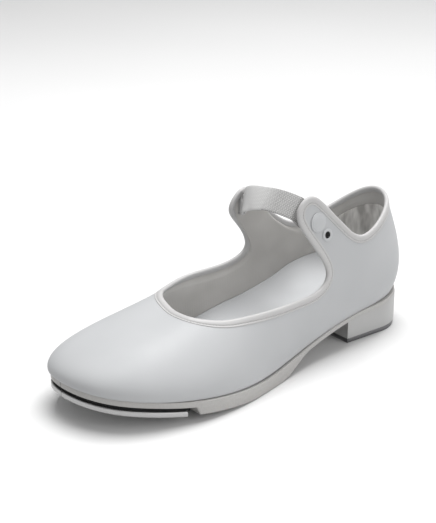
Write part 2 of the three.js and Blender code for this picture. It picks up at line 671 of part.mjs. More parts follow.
// Anchor: from the crown hinge across to the slot, turning to stand in it, then doubled back.
const anchorStart = strapPoint(crown.a, crown.q);
const slotInner = slotOrigin.clone().addScaledVector(slotNormal, -(liningInner + 4));
const slotOuter = slotOrigin.clone().addScaledVector(slotNormal, 0.9);
const crossing = slotInner.clone().sub(anchorStart);
const anchorPoints = [];
const anchorFaces = [];
const anchorAcross = [];
const anchorWidths = [];
const crossSteps = 6;
const crossingArch = 5.6;
const slotFace = slotSide.clone().multiplyScalar(Math.sign(slotSide.dot(strapUp)));
for (let i = 0; i <= crossSteps; i += 1) {
  const t = i / crossSteps;
  const p = anchorStart.clone().addScaledVector(crossing, t);
  const startOff = i === 0 ? hingeGap / crossing.length() : 0;
  p.addScaledVector(crossing, startOff);
  p.addScaledVector(strapUp, crossingArch * Math.sin(Math.PI * t) * (1 - 0.2 * t));
  const turn = smooth(0, 1, t);
  const across = strapAcross.clone().lerp(slotAlong, turn).normalize();
  const face = strapUp.clone().lerp(slotFace, turn);
  face.addScaledVector(across, -face.dot(across)).normalize();
  const doubled = 1 + smooth(0.5, 0.75, t);
  anchorPoints.push(p);
  anchorFaces.push(face.multiplyScalar(half * doubled));
  anchorAcross.push(across);
  anchorWidths.push(strapWidth + (slotPinch - strapWidth) * smooth(0.55, 0.95, t));
}
anchorPoints.push(slotOuter);
anchorFaces.push(anchorFaces[crossSteps].clone());
anchorAcross.push(slotAlong.clone());
anchorWidths.push(slotPinch);
add('strap_anchor', band(anchorPoints, anchorFaces, anchorAcross, anchorWidths), elasticGrey, 0.85);

// ---- snap fastener: cap with post, socket, stud, back disc -------------------------
const socketTop = -(liningInner + gap);
const socketBottom = socketTop - 1.7;
const socketLip = socketBottom + 1.1;
const capPostEnd = socketTop + gap - 0.6;
const capProfile = [
  [0, 1.5],
  [3.5, 1.35],
  [snapCapRadius - 1, 0.95],
  [snapCapRadius, gap + 0.1],
  [snapCapRadius, gap],
  [postRadius, gap],
  [postRadius, capPostEnd],
  [0, capPostEnd],
];
add('snap_cap', turned(capProfile, snapOrigin, snapNormal, 20), leatherGrey, 0.35);
const socketProfile = [
  [postRadius + gap, socketTop],
  [socketRadius, socketTop],
  [socketRadius, socketBottom],
  [socketBore, socketBottom],
  [socketBore - 0.3, socketLip],
  [postRadius + gap, socketLip],
  [postRadius + gap, socketTop],
];
add('snap_socket', turned(socketProfile, snapOrigin, snapNormal, 20), steel, 0.3, 0.9);
const studBase = -snapStandOff + half + gap;
const studFlange = 4.2;
const studProfile = [
  [postRadius + gap, studBase],
  [studFlange, studBase],
  [studFlange, studBase + 0.4],
  [studRadius, studBase + 0.5],
  [studRadius, studBase + 1.4],
  [studRadius - 0.4, studBase + 1.6],
  [postRadius + gap, studBase + 1.6],
  [postRadius + gap, studBase],
];
add('snap_stud', turned(studProfile, snapOrigin, snapNormal, 16), steel, 0.3, 0.9);
const discTop = -snapStandOff - half - gap;
const postProfile = [
  [0, discTop - 0.6],
  [studFlange, discTop - 0.6],
  [studFlange, discTop],
  [postRadius, discTop],
  [postRadius, studBase + 1.3],
  [0, studBase + 1.3],
];
add('snap_post', turned(postProfile, snapOrigin, snapNormal, 16), steel, 0.3, 0.9);

// ---- eyelet and its washer ----------------------------------------------------------
const barrelRadius = eyeletBore + eyeletWall;
const barrelEnd = -(liningInner + gap + 0.5);
const barrelProfile = [
  [eyeletBore, barrelEnd],
  [barrelRadius, barrelEnd],
  [barrelRadius, gap],
  [eyeletFlange, gap],
  [eyeletFlange, gap + 0.2],
  [eyeletBore + 1.2, gap + 0.7],
  [eyeletBore, gap + 0.4],
  [eyeletBore, barrelEnd],
];
add('eyelet_barrel', turned(barrelProfile, eyeletOrigin, eyeletNormal, 20), leatherGrey, 0.35);
const washerProfile = [
  [barrelRadius + gap, barrelEnd],
  [eyeletFlange, barrelEnd],
  [eyeletFlange, barrelEnd + 0.5],
  [barrelRadius + gap, barrelEnd + 0.5],
  [barrelRadius + gap, barrelEnd],
];
add('eyelet_washer', turned(washerProfile, eyeletOrigin, eyeletNormal, 20), brass, 0.35, 0.9);

export default group;
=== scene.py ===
# %% [markdown]
# # A tap shoe with an elastic snap strap
# This lesson dresses a packed tap shoe: the frame knows where every piece is and how the strap
# moves, and each cell below builds one visible piece as a surface of its own.
# Sizes inside the lesson are millimetres, because that is how a shoemaker thinks. They become
# metres in one place only, when a mesh is made.

import bmesh
import bpy
import numpy as np
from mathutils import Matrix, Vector


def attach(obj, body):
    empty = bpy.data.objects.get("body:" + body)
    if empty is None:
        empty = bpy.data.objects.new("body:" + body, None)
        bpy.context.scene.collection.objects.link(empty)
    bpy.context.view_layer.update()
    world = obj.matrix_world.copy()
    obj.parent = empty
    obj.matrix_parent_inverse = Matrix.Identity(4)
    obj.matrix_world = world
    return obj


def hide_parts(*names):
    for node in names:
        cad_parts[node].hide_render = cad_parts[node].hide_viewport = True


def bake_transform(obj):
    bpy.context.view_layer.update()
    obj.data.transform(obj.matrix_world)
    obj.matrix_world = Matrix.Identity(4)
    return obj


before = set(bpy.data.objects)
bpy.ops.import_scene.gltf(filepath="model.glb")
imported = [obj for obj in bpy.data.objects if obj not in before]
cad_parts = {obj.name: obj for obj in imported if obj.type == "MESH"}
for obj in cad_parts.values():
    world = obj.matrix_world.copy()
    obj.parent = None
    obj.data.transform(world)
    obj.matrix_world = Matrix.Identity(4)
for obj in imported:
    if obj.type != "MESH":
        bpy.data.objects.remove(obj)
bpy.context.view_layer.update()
MM = 0.001
SHOE = "shoe"
STRAP_END = "end"
print("nodes in the frame:", len(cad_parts))

# %% [markdown]
# ## The last
# A shoe is built round a last, a solid foot shape. Here the last is a row of side-wall curves that
# stand round the foot. Each one leaves the feather edge, where upper meets sole, bulges a little and
# ends at the crown. Sculpting by hand would also work, but a formula gives every layer of the shoe
# the same shape at its own depth, so that leather, lining and binding fit into one another.

# %% Wall curves of the last
# foot x, y | rise and bulge of the lower handle | reach and drop of the upper handle | crown x, y, z
STATIONS = np.array([
    [-9, -219, 15, 5, 50, 10, -1, -131, 51],
    [12, -215.5, 15, 5, 46, 10, 7, -130, 52],
    [30, -203, 15, 5, 40, 10, 12, -126, 54],
    [42, -178, 14, 4, 30, 13, 16, -120, 57],
    [47, -150, 14, 3, 22, 18, 20, -110, 62],
    [45, -120, 15, 3, 14, 24, 23, -96, 78],
    [36, -89, 20, 3, 7, 32, 26, -76, 97],
    [30, -57, 28, 4, 4, 34, 25.5, -49, 105],
    [29, -22, 27, 5, 4, 30, 24, -17, 98],
    [27, 15.5, 20, 11, 5, 24, 18.5, 12, 94],
    [0, 35, 18, 19, 8, 20, 0, 26.5, 91],
    [-27, 15.5, 20, 11, 5, 24, -18.5, 12, 94],
    [-29, -22, 27, 5, 4, 30, -24, -17, 98],
    [-27, -57, 28, 4, 4, 34, -25.5, -49, 105],
    [-31, -89, 20, 3, 7, 32, -26, -76, 97],
    [-39, -120, 15, 3, 14, 24, -24, -96, 78],
    [-45, -148, 14, 3, 22, 18, -20, -110, 62],
    [-45, -176, 14, 4, 30, 13, -17, -120, 57],
    [-39.5, -199, 15, 5, 40, 10, -13, -126, 54],
    [-27, -215, 15, 5, 46, 10, -8, -130, 52],
])
# Topline: station, share of the wall height, and the station its grid line starts from.
TOPLINE = np.array([
    [0, 0.915, 0], [1.3, 0.885, 0.9], [2.5, 0.815, 1.8], [3.5, 0.75, 2.7],
    [4.4, 0.67, 3.6], [5.1, 0.58, 4.4], [5.75, 0.5, 5.15], [6.35, 0.43, 5.8],
    [6.85, 0.375, 6.45], [7.15, 0.42, 7.05], [7.15, 0.53, 7.48], [6.85, 0.68, 7.6],
    [6.48, 0.83, 7.68], [6.14, 0.975, 7.73], [6.24, 1.05, 7.77], [6.6, 1.055, 7.81],
    [6.96, 0.965, 7.87], [7.28, 0.87, 7.95], [7.57, 0.785, 8.06], [7.82, 0.7, 8.2],
    [8.08, 0.66, 8.4], [8.42, 0.71, 8.68], [8.82, 0.8, 9.05], [9.35, 0.885, 9.5],
    [10, 0.945, 10], [10.5, 0.905, 10.5], [10.95, 0.8, 10.95], [11.4, 0.69, 11.3],
    [11.82, 0.605, 11.57], [12.16, 0.605, 11.78], [12.46, 0.655, 11.95], [12.75, 0.73, 12.12],
    [13.04, 0.805, 12.3], [13.36, 0.95, 12.41], [13.87, 1.05, 12.49], [14.3, 1.02, 12.56],
    [14.1, 0.9, 12.63], [13.6, 0.74, 12.7], [13.3, 0.58, 12.9], [13.45, 0.51, 13.35],
    [13.95, 0.52, 13.97], [14.6, 0.59, 14.6], [15.4, 0.68, 15.3], [16.3, 0.78, 16.2],
    [17.4, 0.865, 17.2], [18.6, 0.905, 18.3], [19.3, 0.915, 19.2],
])
GRID_BEND = 2.2
TURN = len(STATIONS)
ROUND = len(TOPLINE)
print("wall curves:", TURN, "topline points:", ROUND)

# %% Spline, feather height and the last's surface
def smooth(low, high, value):
    """Rises from 0 at low to 1 at high along 3t squared minus 2t cubed."""
    t = np.clip((np.asarray(value, float) - low) / (high - low), 0, 1)
    return t * t * (3 - 2 * t)


def feather_height(y):
    """Height of the feather edge: lowest at the ball, up in a power curve to the toe, and up in a
    smooth ramp to the heel seat."""
    toe = 14.9 * (np.maximum(-108 - y, 0) / 110) ** 1.4
    return 8.2 + toe + 15.0 * smooth(-106, -8, y) + 1.8 * smooth(-10, 32, y)


def closed_spline(rows, place, turns=0):
    """Uniform cubic B-spline through a closed row: the four rows nearest to a place are mixed with
    the basis weights, and columns that count stations gain one turn each time round."""
    count = len(rows)
    first = np.floor(place).astype(int)
    t = (place - first)[..., None]
    weights = [(1 - t) ** 3, 3 * t**3 - 6 * t * t + 4, -3 * t**3 + 3 * t * t + 3 * t + 1, t**3]
    mixed = 0
    for k, weight in enumerate(weights):
        j = first + k - 1
        mixed = mixed + weight / 6 * (rows[j % count] + (j // count)[..., None] * turns)
    return mixed


def wall_handles():
    """Four control points for each wall curve: foot, a handle pushed outwards and up from it, a
    handle below the crown, and the crown."""
    foot = np.c_[STATIONS[:, 0], STATIONS[:, 1], feather_height(STATIONS[:, 1])]
    along = np.roll(foot, -1, 0) - np.roll(foot, 1, 0)
    outward = np.c_[along[:, 1], -along[:, 0], np.zeros(TURN)]
    outward /= np.linalg.norm(outward, axis=1)[:, None]
    crown = STATIONS[:, 6:9]
    lean = np.c_[foot[:, :2] - crown[:, :2], np.zeros(TURN)]
    lean /= np.linalg.norm(lean, axis=1)[:, None]
    up = np.array([0, 0, 1.0])
    low = foot + outward * STATIONS[:, 3:4] + up * STATIONS[:, 2:3]
    high = crown + lean * STATIONS[:, 4:5] - up * STATIONS[:, 5:6]
    return np.concatenate([foot, low, high, crown], axis=1)


HANDLES = wall_handles()


def last_point(station, share):
    """Point of the last: a cubic Bezier up the wall, its four controls taken from the spline."""
    station, share = np.broadcast_arrays(np.asarray(station, float), np.asarray(share, float))
    r = closed_spline(HANDLES, station)
    h = share[..., None]
    return ((1 - h) ** 3 * r[..., 0:3] + 3 * h * (1 - h) ** 2 * r[..., 3:6]
            + 3 * h * h * (1 - h) * r[..., 6:9] + h**3 * r[..., 9:12])


def slopes(station, share):
    """Directions along the foot and up the wall, as central differences of the surface."""
    e = 0.01
    station, share = np.broadcast_arrays(np.asarray(station, float), np.asarray(share, float))
    along = (last_point(station + e, share) - last_point(station - e, share)) / (2 * e)
    upward = (last_point(station, share + e) - last_point(station, share - e)) / (2 * e)
    return along, upward


def unit(v):
    """The vectors of an array at length one."""
    v = np.asarray(v, float)
    return v / np.linalg.norm(v, axis=-1, keepdims=True)


def last_normal(station, share):
    """Outward normal: the cross product of the two slopes."""
    along, upward = slopes(station, share)
    return unit(np.cross(along, upward))


def at_depth(station, share, depth):
    """Point of the last moved inwards along the normal by a depth."""
    depth = np.asarray(depth, float)
    return last_point(station, share) - last_normal(station, share) * depth[..., None]


def grid_place(place, t):
    """Station and wall share on the upper's own grid: each line starts at the feather and leans
    over to its topline point as t to the power of GRID_BEND."""
    place, t = np.broadcast_arrays(np.asarray(place, float), np.asarray(t, float))
    line = closed_spline(TOPLINE, place, np.array([TURN, 0, TURN]))
    station = line[..., 2] + (line[..., 0] - line[..., 2]) * t**GRID_BEND
    return station, line[..., 1] * t


def wall_point(place, t, depth):
    """Point of a shoe layer: place runs round the topline, t up from the feather edge."""
    station, share = grid_place(place, t)
    return at_depth(station, share, np.broadcast_to(depth, station.shape))


print("heel back of the last:", np.round(last_point(10.0, 0.0), 1))

# %% [markdown]
# ## From arrays to meshes
# Every piece below is a grid of points. One helper turns a grid into a mesh: it numbers the points,
# joins neighbours into four-sided faces, closes the grid in one or both directions, and writes
# everything at once with foreach_set, which is far quicker than adding faces one by one.

# %% Grid to mesh
def grid_faces(rows, columns, close_rows, close_columns):
    """Corner numbers of the quads between neighbouring rows and columns of a grid."""
    r = np.arange(rows if close_rows else rows - 1)
    c = np.arange(columns if close_columns else columns - 1)
    r0, c0 = np.meshgrid(r, c, indexing="ij")
    r1, c1 = (r0 + 1) % rows, (c0 + 1) % columns
    quads = np.stack([r0 * columns + c0, r1 * columns + c0, r1 * columns + c1, r0 * columns + c1], -1)
    return quads.reshape(-1, 4)


def shoelace_volume(points, quads):
    """Six times the signed volume under the quads, to tell inside from outside."""
    a, b, c, d = (points[quads[:, k]] for k in range(4))
    first = np.einsum("ij,ij->i", a, np.cross(b, c))
    return (first + np.einsum("ij,ij->i", a, np.cross(c, d))).sum()


def build_mesh(name, points, quads, end_loops=(), uv=None, weld=0.0):
    """A new object from points in millimetres, quads and optional end caps, facing outwards."""
    if shoelace_volume(points, quads) < 0:
        quads = quads[:, ::-1]
        end_loops = [loop[::-1] for loop in end_loops]
    corners = np.concatenate([quads.ravel(), *end_loops]).astype(np.int32)
    totals = np.array([4] * len(quads) + [len(loop) for loop in end_loops], np.int32)
    mesh = bpy.data.meshes.new(name)
    mesh.vertices.add(len(points))
    mesh.vertices.foreach_set("co", (points * MM).astype(np.float32).ravel())
    mesh.loops.add(len(corners))
    mesh.loops.foreach_set("vertex_index", corners)
    mesh.polygons.add(len(totals))
    starts = np.concatenate([[0], np.cumsum(totals)[:-1]]).astype(np.int32)
    mesh.polygons.foreach_set("loop_start", starts)
    if uv is not None:
        layer = mesh.uv_layers.new(name="UVMap")
        layer.data.foreach_set("uv", uv[corners].astype(np.float32).ravel())
    mesh.update(calc_edges=True)
    mesh.validate()
    if weld > 0:
        weld_points(mesh, weld)
    mesh.polygons.foreach_set("use_smooth", np.ones(len(mesh.polygons), bool))
    piece = bpy.data.objects.new(name, mesh)
    bpy.context.scene.collection.objects.link(piece)
    print(f"{name}: {len(mesh.polygons)} faces")
    return piece


def weld_points(mesh, distance):
    """Joins points that lie within a distance in metres, which seals poles and seams."""
    work = bmesh.new()
    work.from_mesh(mesh)
    bmesh.ops.remove_doubles(work, verts=work.verts, dist=distance)
    bmesh.ops.recalc_face_normals(work, faces=work.faces)
    work.to_mesh(mesh)
    work.free()


def tube(name, sections, closed_path, uv=None):
    """Mesh from closed sections carried along a path: sections has the shape (path, ring, 3)."""
    rows, columns = sections.shape[:2]
    quads = grid_faces(rows, columns, closed_path, True)
    ends = [] if closed_path else [np.arange(columns)[::-1], (rows - 1) * columns + np.arange(columns)]
    return build_mesh(name, sections.reshape(-1, 3), quads, ends, uv)


print("mesh helpers ready")

# %% [markdown]
# ## Materials
# Each finish is a node tree on a Principled shader. Colour varies a little in large soft clouds, as
# real hides and mouldings do, and a fine pattern drives a bump, so that highlights break up at the
# right scale. Patterns read Object coordinates, so they hold still on the piece, or the piece's own
# UV map where they must run along a band.

# %% Node helpers
def new_finish(name, roughness, metallic=0.0, specular=0.5):
    """An empty finish with its shader: returns the material, its tree and the shader node."""
    material = bpy.data.materials.new(name)
    material.use_nodes = True
    tree = material.node_tree
    shader = tree.nodes["Principled BSDF"]
    shader.inputs["Roughness"].default_value = roughness
    shader.inputs["Metallic"].default_value = metallic
    shader.inputs["Specular IOR Level"].default_value = specular
    return material, tree, shader


def coordinates(tree, stretch=(1, 1, 1), kind="Object"):
    """Pattern space in metres, stretched along its axes by a Mapping node."""
    place = tree.nodes.new("ShaderNodeTexCoord")
    mapping = tree.nodes.new("ShaderNodeMapping")
    mapping.inputs["Scale"].default_value = stretch
    tree.links.new(place.outputs[kind], mapping.inputs["Vector"])
    return mapping.outputs["Vector"]


def noise(tree, vector, scale, detail=3.0, rough=0.55):
    """Fractal noise at so many features a metre."""
    node = tree.nodes.new("ShaderNodeTexNoise")
    node.inputs["Scale"].default_value = scale
    node.inputs["Detail"].default_value = detail
    node.inputs["Roughness"].default_value = rough
    tree.links.new(vector, node.inputs["Vector"])
    return node.outputs["Fac"]


def cells(tree, vector, scale):
    """Distance to the nearest of scattered points: the pebbles of a leather grain."""
    node = tree.nodes.new("ShaderNodeTexVoronoi")
    node.inputs["Scale"].default_value = scale
    tree.links.new(vector, node.inputs["Vector"])
    return node.outputs["Distance"]


def waves(tree, vector, scale, axis, distortion=0.0):
    """Parallel sine bands across one axis."""
    node = tree.nodes.new("ShaderNodeTexWave")
    node.wave_type = "BANDS"
    node.bands_direction = axis
    node.inputs["Scale"].default_value = scale
    node.inputs["Distortion"].default_value = distortion
    tree.links.new(vector, node.inputs["Vector"])
    return node.outputs["Fac"]


def ramp(tree, fac, stops):
    """Colour ramp: stops are pairs of a position and a grey or an RGB colour."""
    node = tree.nodes.new("ShaderNodeValToRGB")
    elements = node.color_ramp.elements
    while len(elements) < len(stops):
        elements.new(0.5)
    for element, (position, colour) in zip(elements, stops):
        element.position = position
        rgb = (colour,) * 3 if np.isscalar(colour) else tuple(colour)
        element.color = (*rgb, 1)
    tree.links.new(fac, node.inputs["Fac"])
    return node.outputs["Color"]


def bump(tree, shader, height, depth, strength=1.0):
    """Surface relief of a depth in metres, chained onto any relief already there."""
    node = tree.nodes.new("ShaderNodeBump")
    node.inputs["Strength"].default_value = strength
    node.inputs["Distance"].default_value = depth
    tree.links.new(height, node.inputs["Height"])
    if shader.inputs["Normal"].is_linked:
        tree.links.new(shader.inputs["Normal"].links[0].from_socket, node.inputs["Normal"])
    tree.links.new(node.outputs["Normal"], shader.inputs["Normal"])


def clouded(tree, shader, vector, dark, light, scale=22):
    """Base colour that drifts between two close tones in soft clouds."""
    colour = ramp(tree, noise(tree, vector, scale, 2.0), [(0.3, dark), (0.7, light)])
    tree.links.new(colour, shader.inputs["Base Color"])


print("node helpers ready")

# %% Leather, binding, lining and sock
def smooth_leather(name, dark, light, roughness):
    """Coated leather: pebbles of 0.7 mm and finer pores, very shallow, under a satin coat."""
    material, tree, shader = new_finish(name, roughness, specular=0.38)
    vector = coordinates(tree)
    clouded(tree, shader, vector, dark, light)
    bump(tree, shader, cells(tree, vector, 1500), 0.00003, 0.35)
    bump(tree, shader, noise(tree, vector, 900, 4.0), 0.00004, 0.3)
    tree.links.new(ramp(tree, noise(tree, vector, 60), [(0.3, roughness - 0.05), (0.7, roughness + 0.06)]),
                   shader.inputs["Roughness"])
    shader.inputs["Coat Weight"].default_value = 0.04
    shader.inputs["Coat Roughness"].default_value = 0.4
    return material


def woven_cloth(name, dark, light, threads, roughness=0.9):
    """Woven cloth: two crossed bands of threads give the relief, and noise the fuzz."""
    material, tree, shader = new_finish(name, roughness, specular=0.2)
    vector = coordinates(tree)
    clouded(tree, shader, vector, dark, light, 35)
    bump(tree, shader, waves(tree, vector, threads, "Y", 0.4), 0.00005, 0.5)
    bump(tree, shader, waves(tree, vector, threads, "Z", 0.4), 0.00005, 0.5)
    bump(tree, shader, noise(tree, vector, 1800), 0.00005, 0.5)
    shader.inputs["Sheen Weight"].default_value = 0.25
    return material


leather = smooth_leather("upper_leather", (0.385, 0.392, 0.40), (0.412, 0.418, 0.426), 0.58)
binding_leather = smooth_leather("binding_leather", (0.41, 0.405, 0.404), (0.44, 0.435, 0.433), 0.46)
lining_cloth = woven_cloth("lining_cloth", (0.43, 0.419, 0.403), (0.51, 0.50, 0.482), 260)
sock_skin = smooth_leather("sock_skin", (0.44, 0.448, 0.458), (0.50, 0.507, 0.517), 0.6)
backing_cloth = woven_cloth("backing_cloth", (0.5, 0.49, 0.47), (0.6, 0.59, 0.57), 180)
print("soft finishes:", [m.name for m in (leather, binding_leather, lining_cloth, sock_skin)])

# %% Grip suede, elastic, thread
def grip_suede():
    """Brushed lining at the heel: pale nap with soft darker upright streaks."""
    material, tree, shader = new_finish("grip_suede", 0.85, specular=0.25)
    streaks = coordinates(tree, (1.0, 1.0, 0.12))
    nap_tones = [(0.3, (0.40, 0.385, 0.37)), (0.6, (0.78, 0.765, 0.74))]
    tone = ramp(tree, noise(tree, streaks, 190, 2.0), nap_tones)
    tree.links.new(tone, shader.inputs["Base Color"])
    bump(tree, shader, noise(tree, coordinates(tree), 1600), 0.00006, 0.5)
    shader.inputs["Sheen Weight"].default_value = 0.4
    return material


def ribbed_elastic():
    """Elastic webbing on the band's UV map, in millimetres: dashes where the cross threads pass over
    the rubber cores, in rows offset by half a step, with painted shade in the grooves between them: the
    near-black mortar. Near the slot the band is gathered and smooth, so there a plain tone is mixed in by
    the running length."""
    material, tree, shader = new_finish("ribbed_elastic", 0.8, specular=0.25)
    vector = coordinates(tree, kind="UV")
    bricks = tree.nodes.new("ShaderNodeTexBrick")
    bricks.inputs["Scale"].default_value = 1.0
    bricks.inputs["Brick Width"].default_value = 1.5
    bricks.inputs["Row Height"].default_value = 0.86
    bricks.inputs["Mortar Size"].default_value = 0.15
    bricks.inputs["Mortar Smooth"].default_value = 0.6
    bricks.inputs["Color1"].default_value = (0.40, 0.398, 0.395, 1)
    bricks.inputs["Color2"].default_value = (0.44, 0.438, 0.434, 1)
    # Near-black mortar: painted shade in the grooves between the dashes.
    bricks.inputs["Mortar"].default_value = (0.13, 0.129, 0.127, 1)
    tree.links.new(vector, bricks.inputs["Vector"])
    split = tree.nodes.new("ShaderNodeSeparateXYZ")
    tree.links.new(coordinates(tree, (1 / 60, 1, 1), "UV"), split.inputs["Vector"])
    woven = ramp(tree, split.outputs["X"], [(0.25, 0.1), (0.6, 1.0)])
    mix = tree.nodes.new("ShaderNodeMix")
    mix.data_type = "RGBA"
    mix.inputs[6].default_value = (0.55, 0.548, 0.545, 1)
    tree.links.new(woven, mix.inputs[0])
    tree.links.new(bricks.outputs["Color"], mix.inputs[7])
    tree.links.new(mix.outputs[2], shader.inputs["Base Color"])
    bump(tree, shader, bricks.outputs["Fac"], 0.00012, -0.7)
    bump(tree, shader, noise(tree, coordinates(tree), 2200), 0.00004, 0.4)
    return material


elastic = ribbed_elastic()
suede = grip_suede()
thread = woven_cloth("sewing_thread", (0.36, 0.36, 0.355), (0.42, 0.42, 0.415), 700, 0.7)
print("bands and threads:", elastic.name, suede.name, thread.name)

# %% Sole, heel, board and metals
def moulded_rubber(name, dark, light, roughness):
    """Rubber sheet: a matte skin with fine specks and shallow pits."""
    material, tree, shader = new_finish(name, roughness, specular=0.35)
    vector = coordinates(tree)
    specks = ramp(tree, noise(tree, vector, 900, 4.0, 0.6), [(0.3, dark), (0.7, light)])
    tree.links.new(specks, shader.inputs["Base Color"])
    bump(tree, shader, noise(tree, vector, 700, 5.0), 0.00008, 0.4)
    return material


def pressed_board(name, dark, light, roughness=0.85):
    """Pressed fibre: short fibres lying in the sheet, so the noise is stretched along the foot."""
    material, tree, shader = new_finish(name, roughness, specular=0.25)
    vector = coordinates(tree, (1.0, 0.35, 1.0))
    fibres = ramp(tree, noise(tree, vector, 500, 6.0, 0.75), [(0.3, dark), (0.7, light)])
    tree.links.new(fibres, shader.inputs["Base Color"])
    bump(tree, shader, noise(tree, vector, 800, 5.0), 0.0001, 0.4)
    return material


def brushed_metal(name, dark, light, roughness, stretch=(0.04, 1.0, 1.0)):
    """Metal brushed one way: noise drawn out along the brushing gives lines in tone and relief."""
    material, tree, shader = new_finish(name, roughness, metallic=1.0)
    vector = coordinates(tree, stretch)
    lines = noise(tree, vector, 2600, 3.0, 0.6)
    tree.links.new(ramp(tree, lines, [(0.3, dark), (0.7, light)]), shader.inputs["Base Color"])
    spread = ramp(tree, lines, [(0.3, roughness - 0.05), (0.7, roughness + 0.08)])
    tree.links.new(spread, shader.inputs["Roughness"])
    bump(tree, shader, lines, 0.00002, 0.35)
    return material


def painted_metal(name, dark, light, roughness):
    """Paint over metal: even colour with the faint orange peel of a sprayed coat."""
    material, tree, shader = new_finish(name, roughness)
    vector = coordinates(tree)
    clouded(tree, shader, vector, dark, light, 60)
    bump(tree, shader, noise(tree, vector, 1100, 1.0), 0.00002, 0.3)
    shader.inputs["Coat Weight"].default_value = 0.3
    shader.inputs["Coat Roughness"].default_value = 0.25
    return material


sole_rubber = moulded_rubber("sole_rubber", (0.355, 0.348, 0.338), (0.40, 0.393, 0.382), 0.6)
heel_cover = smooth_leather("heel_cover", (0.39, 0.39, 0.387), (0.43, 0.43, 0.427), 0.5)
black_board = pressed_board("black_board", (0.004, 0.004, 0.004), (0.014, 0.014, 0.015))
tan_board = pressed_board("tan_board", (0.30, 0.21, 0.12), (0.45, 0.34, 0.21))
cork_filler = moulded_rubber("cork_filler", (0.16, 0.09, 0.04), (0.42, 0.27, 0.14), 0.85)
cushion_foam = moulded_rubber("cushion_foam", (0.62, 0.58, 0.48), (0.72, 0.69, 0.6), 0.9)
tap_metal = brushed_metal("tap_metal", (0.41, 0.41, 0.408), (0.50, 0.50, 0.498), 0.46)
# The heel tap is the same tap metal as the toe tap; its much darker tone is painted shade for the shadow
# under the heel and the dark it reflects.
heel_tap_metal = brushed_metal("heel_tap_metal", (0.16, 0.16, 0.165), (0.24, 0.24, 0.245), 0.42)
screw_steel = brushed_metal("screw_steel", (0.42, 0.43, 0.44), (0.55, 0.56, 0.57), 0.3, (1, 1, 1))
snap_steel = brushed_metal("snap_steel", (0.5, 0.5, 0.49), (0.62, 0.61, 0.6), 0.28, (1, 1, 1))
washer_brass = brushed_metal("washer_brass", (0.5, 0.36, 0.13), (0.66, 0.5, 0.22), 0.32, (1, 1, 1))
snap_paint = painted_metal("snap_paint", (0.385, 0.393, 0.402), (0.415, 0.422, 0.43), 0.34)
# Near-black painted shade for the shadow down the eyelet's hole, given to the bore's faces further down.
bore_painted_shade = painted_metal("bore_painted_shade", (0.012, 0.012, 0.013), (0.02, 0.02, 0.021), 0.6)
print("hard finishes ready")


def dress(piece, material, body, slot_name, *nodes):
    """Gives a finished piece its material and its body, and hides the frame nodes it stands for; slot_name is
    not used.
    """
    piece.data.materials.clear()
    piece.data.materials.append(material)
    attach(piece, body)
    if nodes:
        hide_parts(*nodes)
    return piece


# %% [markdown]
# ## Upper, lining and what is hidden between them
# The upper of a shoe is a sandwich: coated leather outside, cloth lining inside, and stiff pieces
# between them at the toe, the heel and the ears. Solidify could thicken one sheet, but a closed
# section carried round the topline gives each layer its true depth, its turned-in lasting margin and
# a soft, rounded lower edge where it meets the sole.

# %% Wall layers
UPPER_THICK = 1.2
STIFFENER_DEPTH = 1.5
LINING_DEPTH = 2.4
LINING_THICK = 0.6
LINING_INNER = LINING_DEPTH + LINING_THICK
GAP = 0.3
TURN_IN = 9.0


def margin_point(place, inward, lift):
    """Point of the margin under the foot: the feather point moved inwards, at feather height."""
    station, share = grid_place(place, 0.0)
    foot = last_point(station, share)
    ahead = last_point(station + 0.05, 0.0) - last_point(station - 0.05, 0.0)
    inwards = unit(np.stack([-ahead[..., 1], ahead[..., 0], np.zeros_like(station)], -1))
    moved = foot + inwards * inward
    moved[..., 2] = feather_height(moved[..., 1]) + lift
    return moved


def wall_layer(name, places, depth, thick, levels, margin, closed=True, edge_round=0.0):
    """Closed section for each place: up the outer face, down the inner face and, with a margin,
    back under the foot. Depth and thickness are functions of the distance below the topline. Near
    the feather the outer face is drawn in along a quarter circle of edge_round, as leather pulled
    over a last is."""
    p = places[:, None]
    t = levels[None, :]
    height = np.linalg.norm(wall_point(places, 0.05, 0) - wall_point(places, 0, 0), axis=-1) / 0.05
    near = np.clip(1 - t * height[:, None] / max(edge_round, 1e-6), 0, 1)
    pulled = edge_round * (1 - np.sqrt(1 - near**2))
    rim = np.linalg.norm(wall_point(places, 1.0, 0) - wall_point(places, 0.95, 0), axis=-1) / 0.05
    below = (1 - t) * rim[:, None]
    outer = wall_point(p, t, depth(below) + pulled)
    inner = wall_point(p, t, depth(below) + thick(below))[:, ::-1]
    parts = [outer, inner]
    if margin > 0:
        far = np.full(1, 99.0)
        d, low = float(depth(far)[0]), float((depth(far) + thick(far))[0])
        parts.append(margin_point(places, margin, low)[:, None])
        parts.append(margin_point(places, margin, d)[:, None])
        parts.append(margin_point(places, d + edge_round, d)[:, None])
    return tube(name, np.concatenate(parts, axis=1), closed)


def piercing(piece, cutters):
    """Cuts holes with Boolean modifiers and keeps the result as the piece's own mesh."""
    for cutter in cutters:
        hole = piece.modifiers.new(cutter.name, "BOOLEAN")
        hole.operation = "DIFFERENCE"
        hole.solver = "EXACT"
        hole.object = cutter
    evaluated = piece.evaluated_get(bpy.context.evaluated_depsgraph_get())
    cut_mesh = bpy.data.meshes.new_from_object(evaluated)
    piece.modifiers.clear()
    piece.data = cut_mesh
    print(f"{piece.name}: {len(cut_mesh.polygons)} faces after cutting")
    return piece


RING = np.linspace(0, ROUND, 600, endpoint=False)
print("upper grid lines:", len(RING))

# %% [markdown]
# ## Where the snap, the eyelet and the slot sit
# Three fittings need a place and a direction on the ears. Each takes both from the last's surface,
# so a fitting always lies square on the leather.

# %% Fitting frames
def fitting(station, share):
    """Centre and outward normal of a fitting on the last."""
    return last_point(station, share), last_normal(station, share)


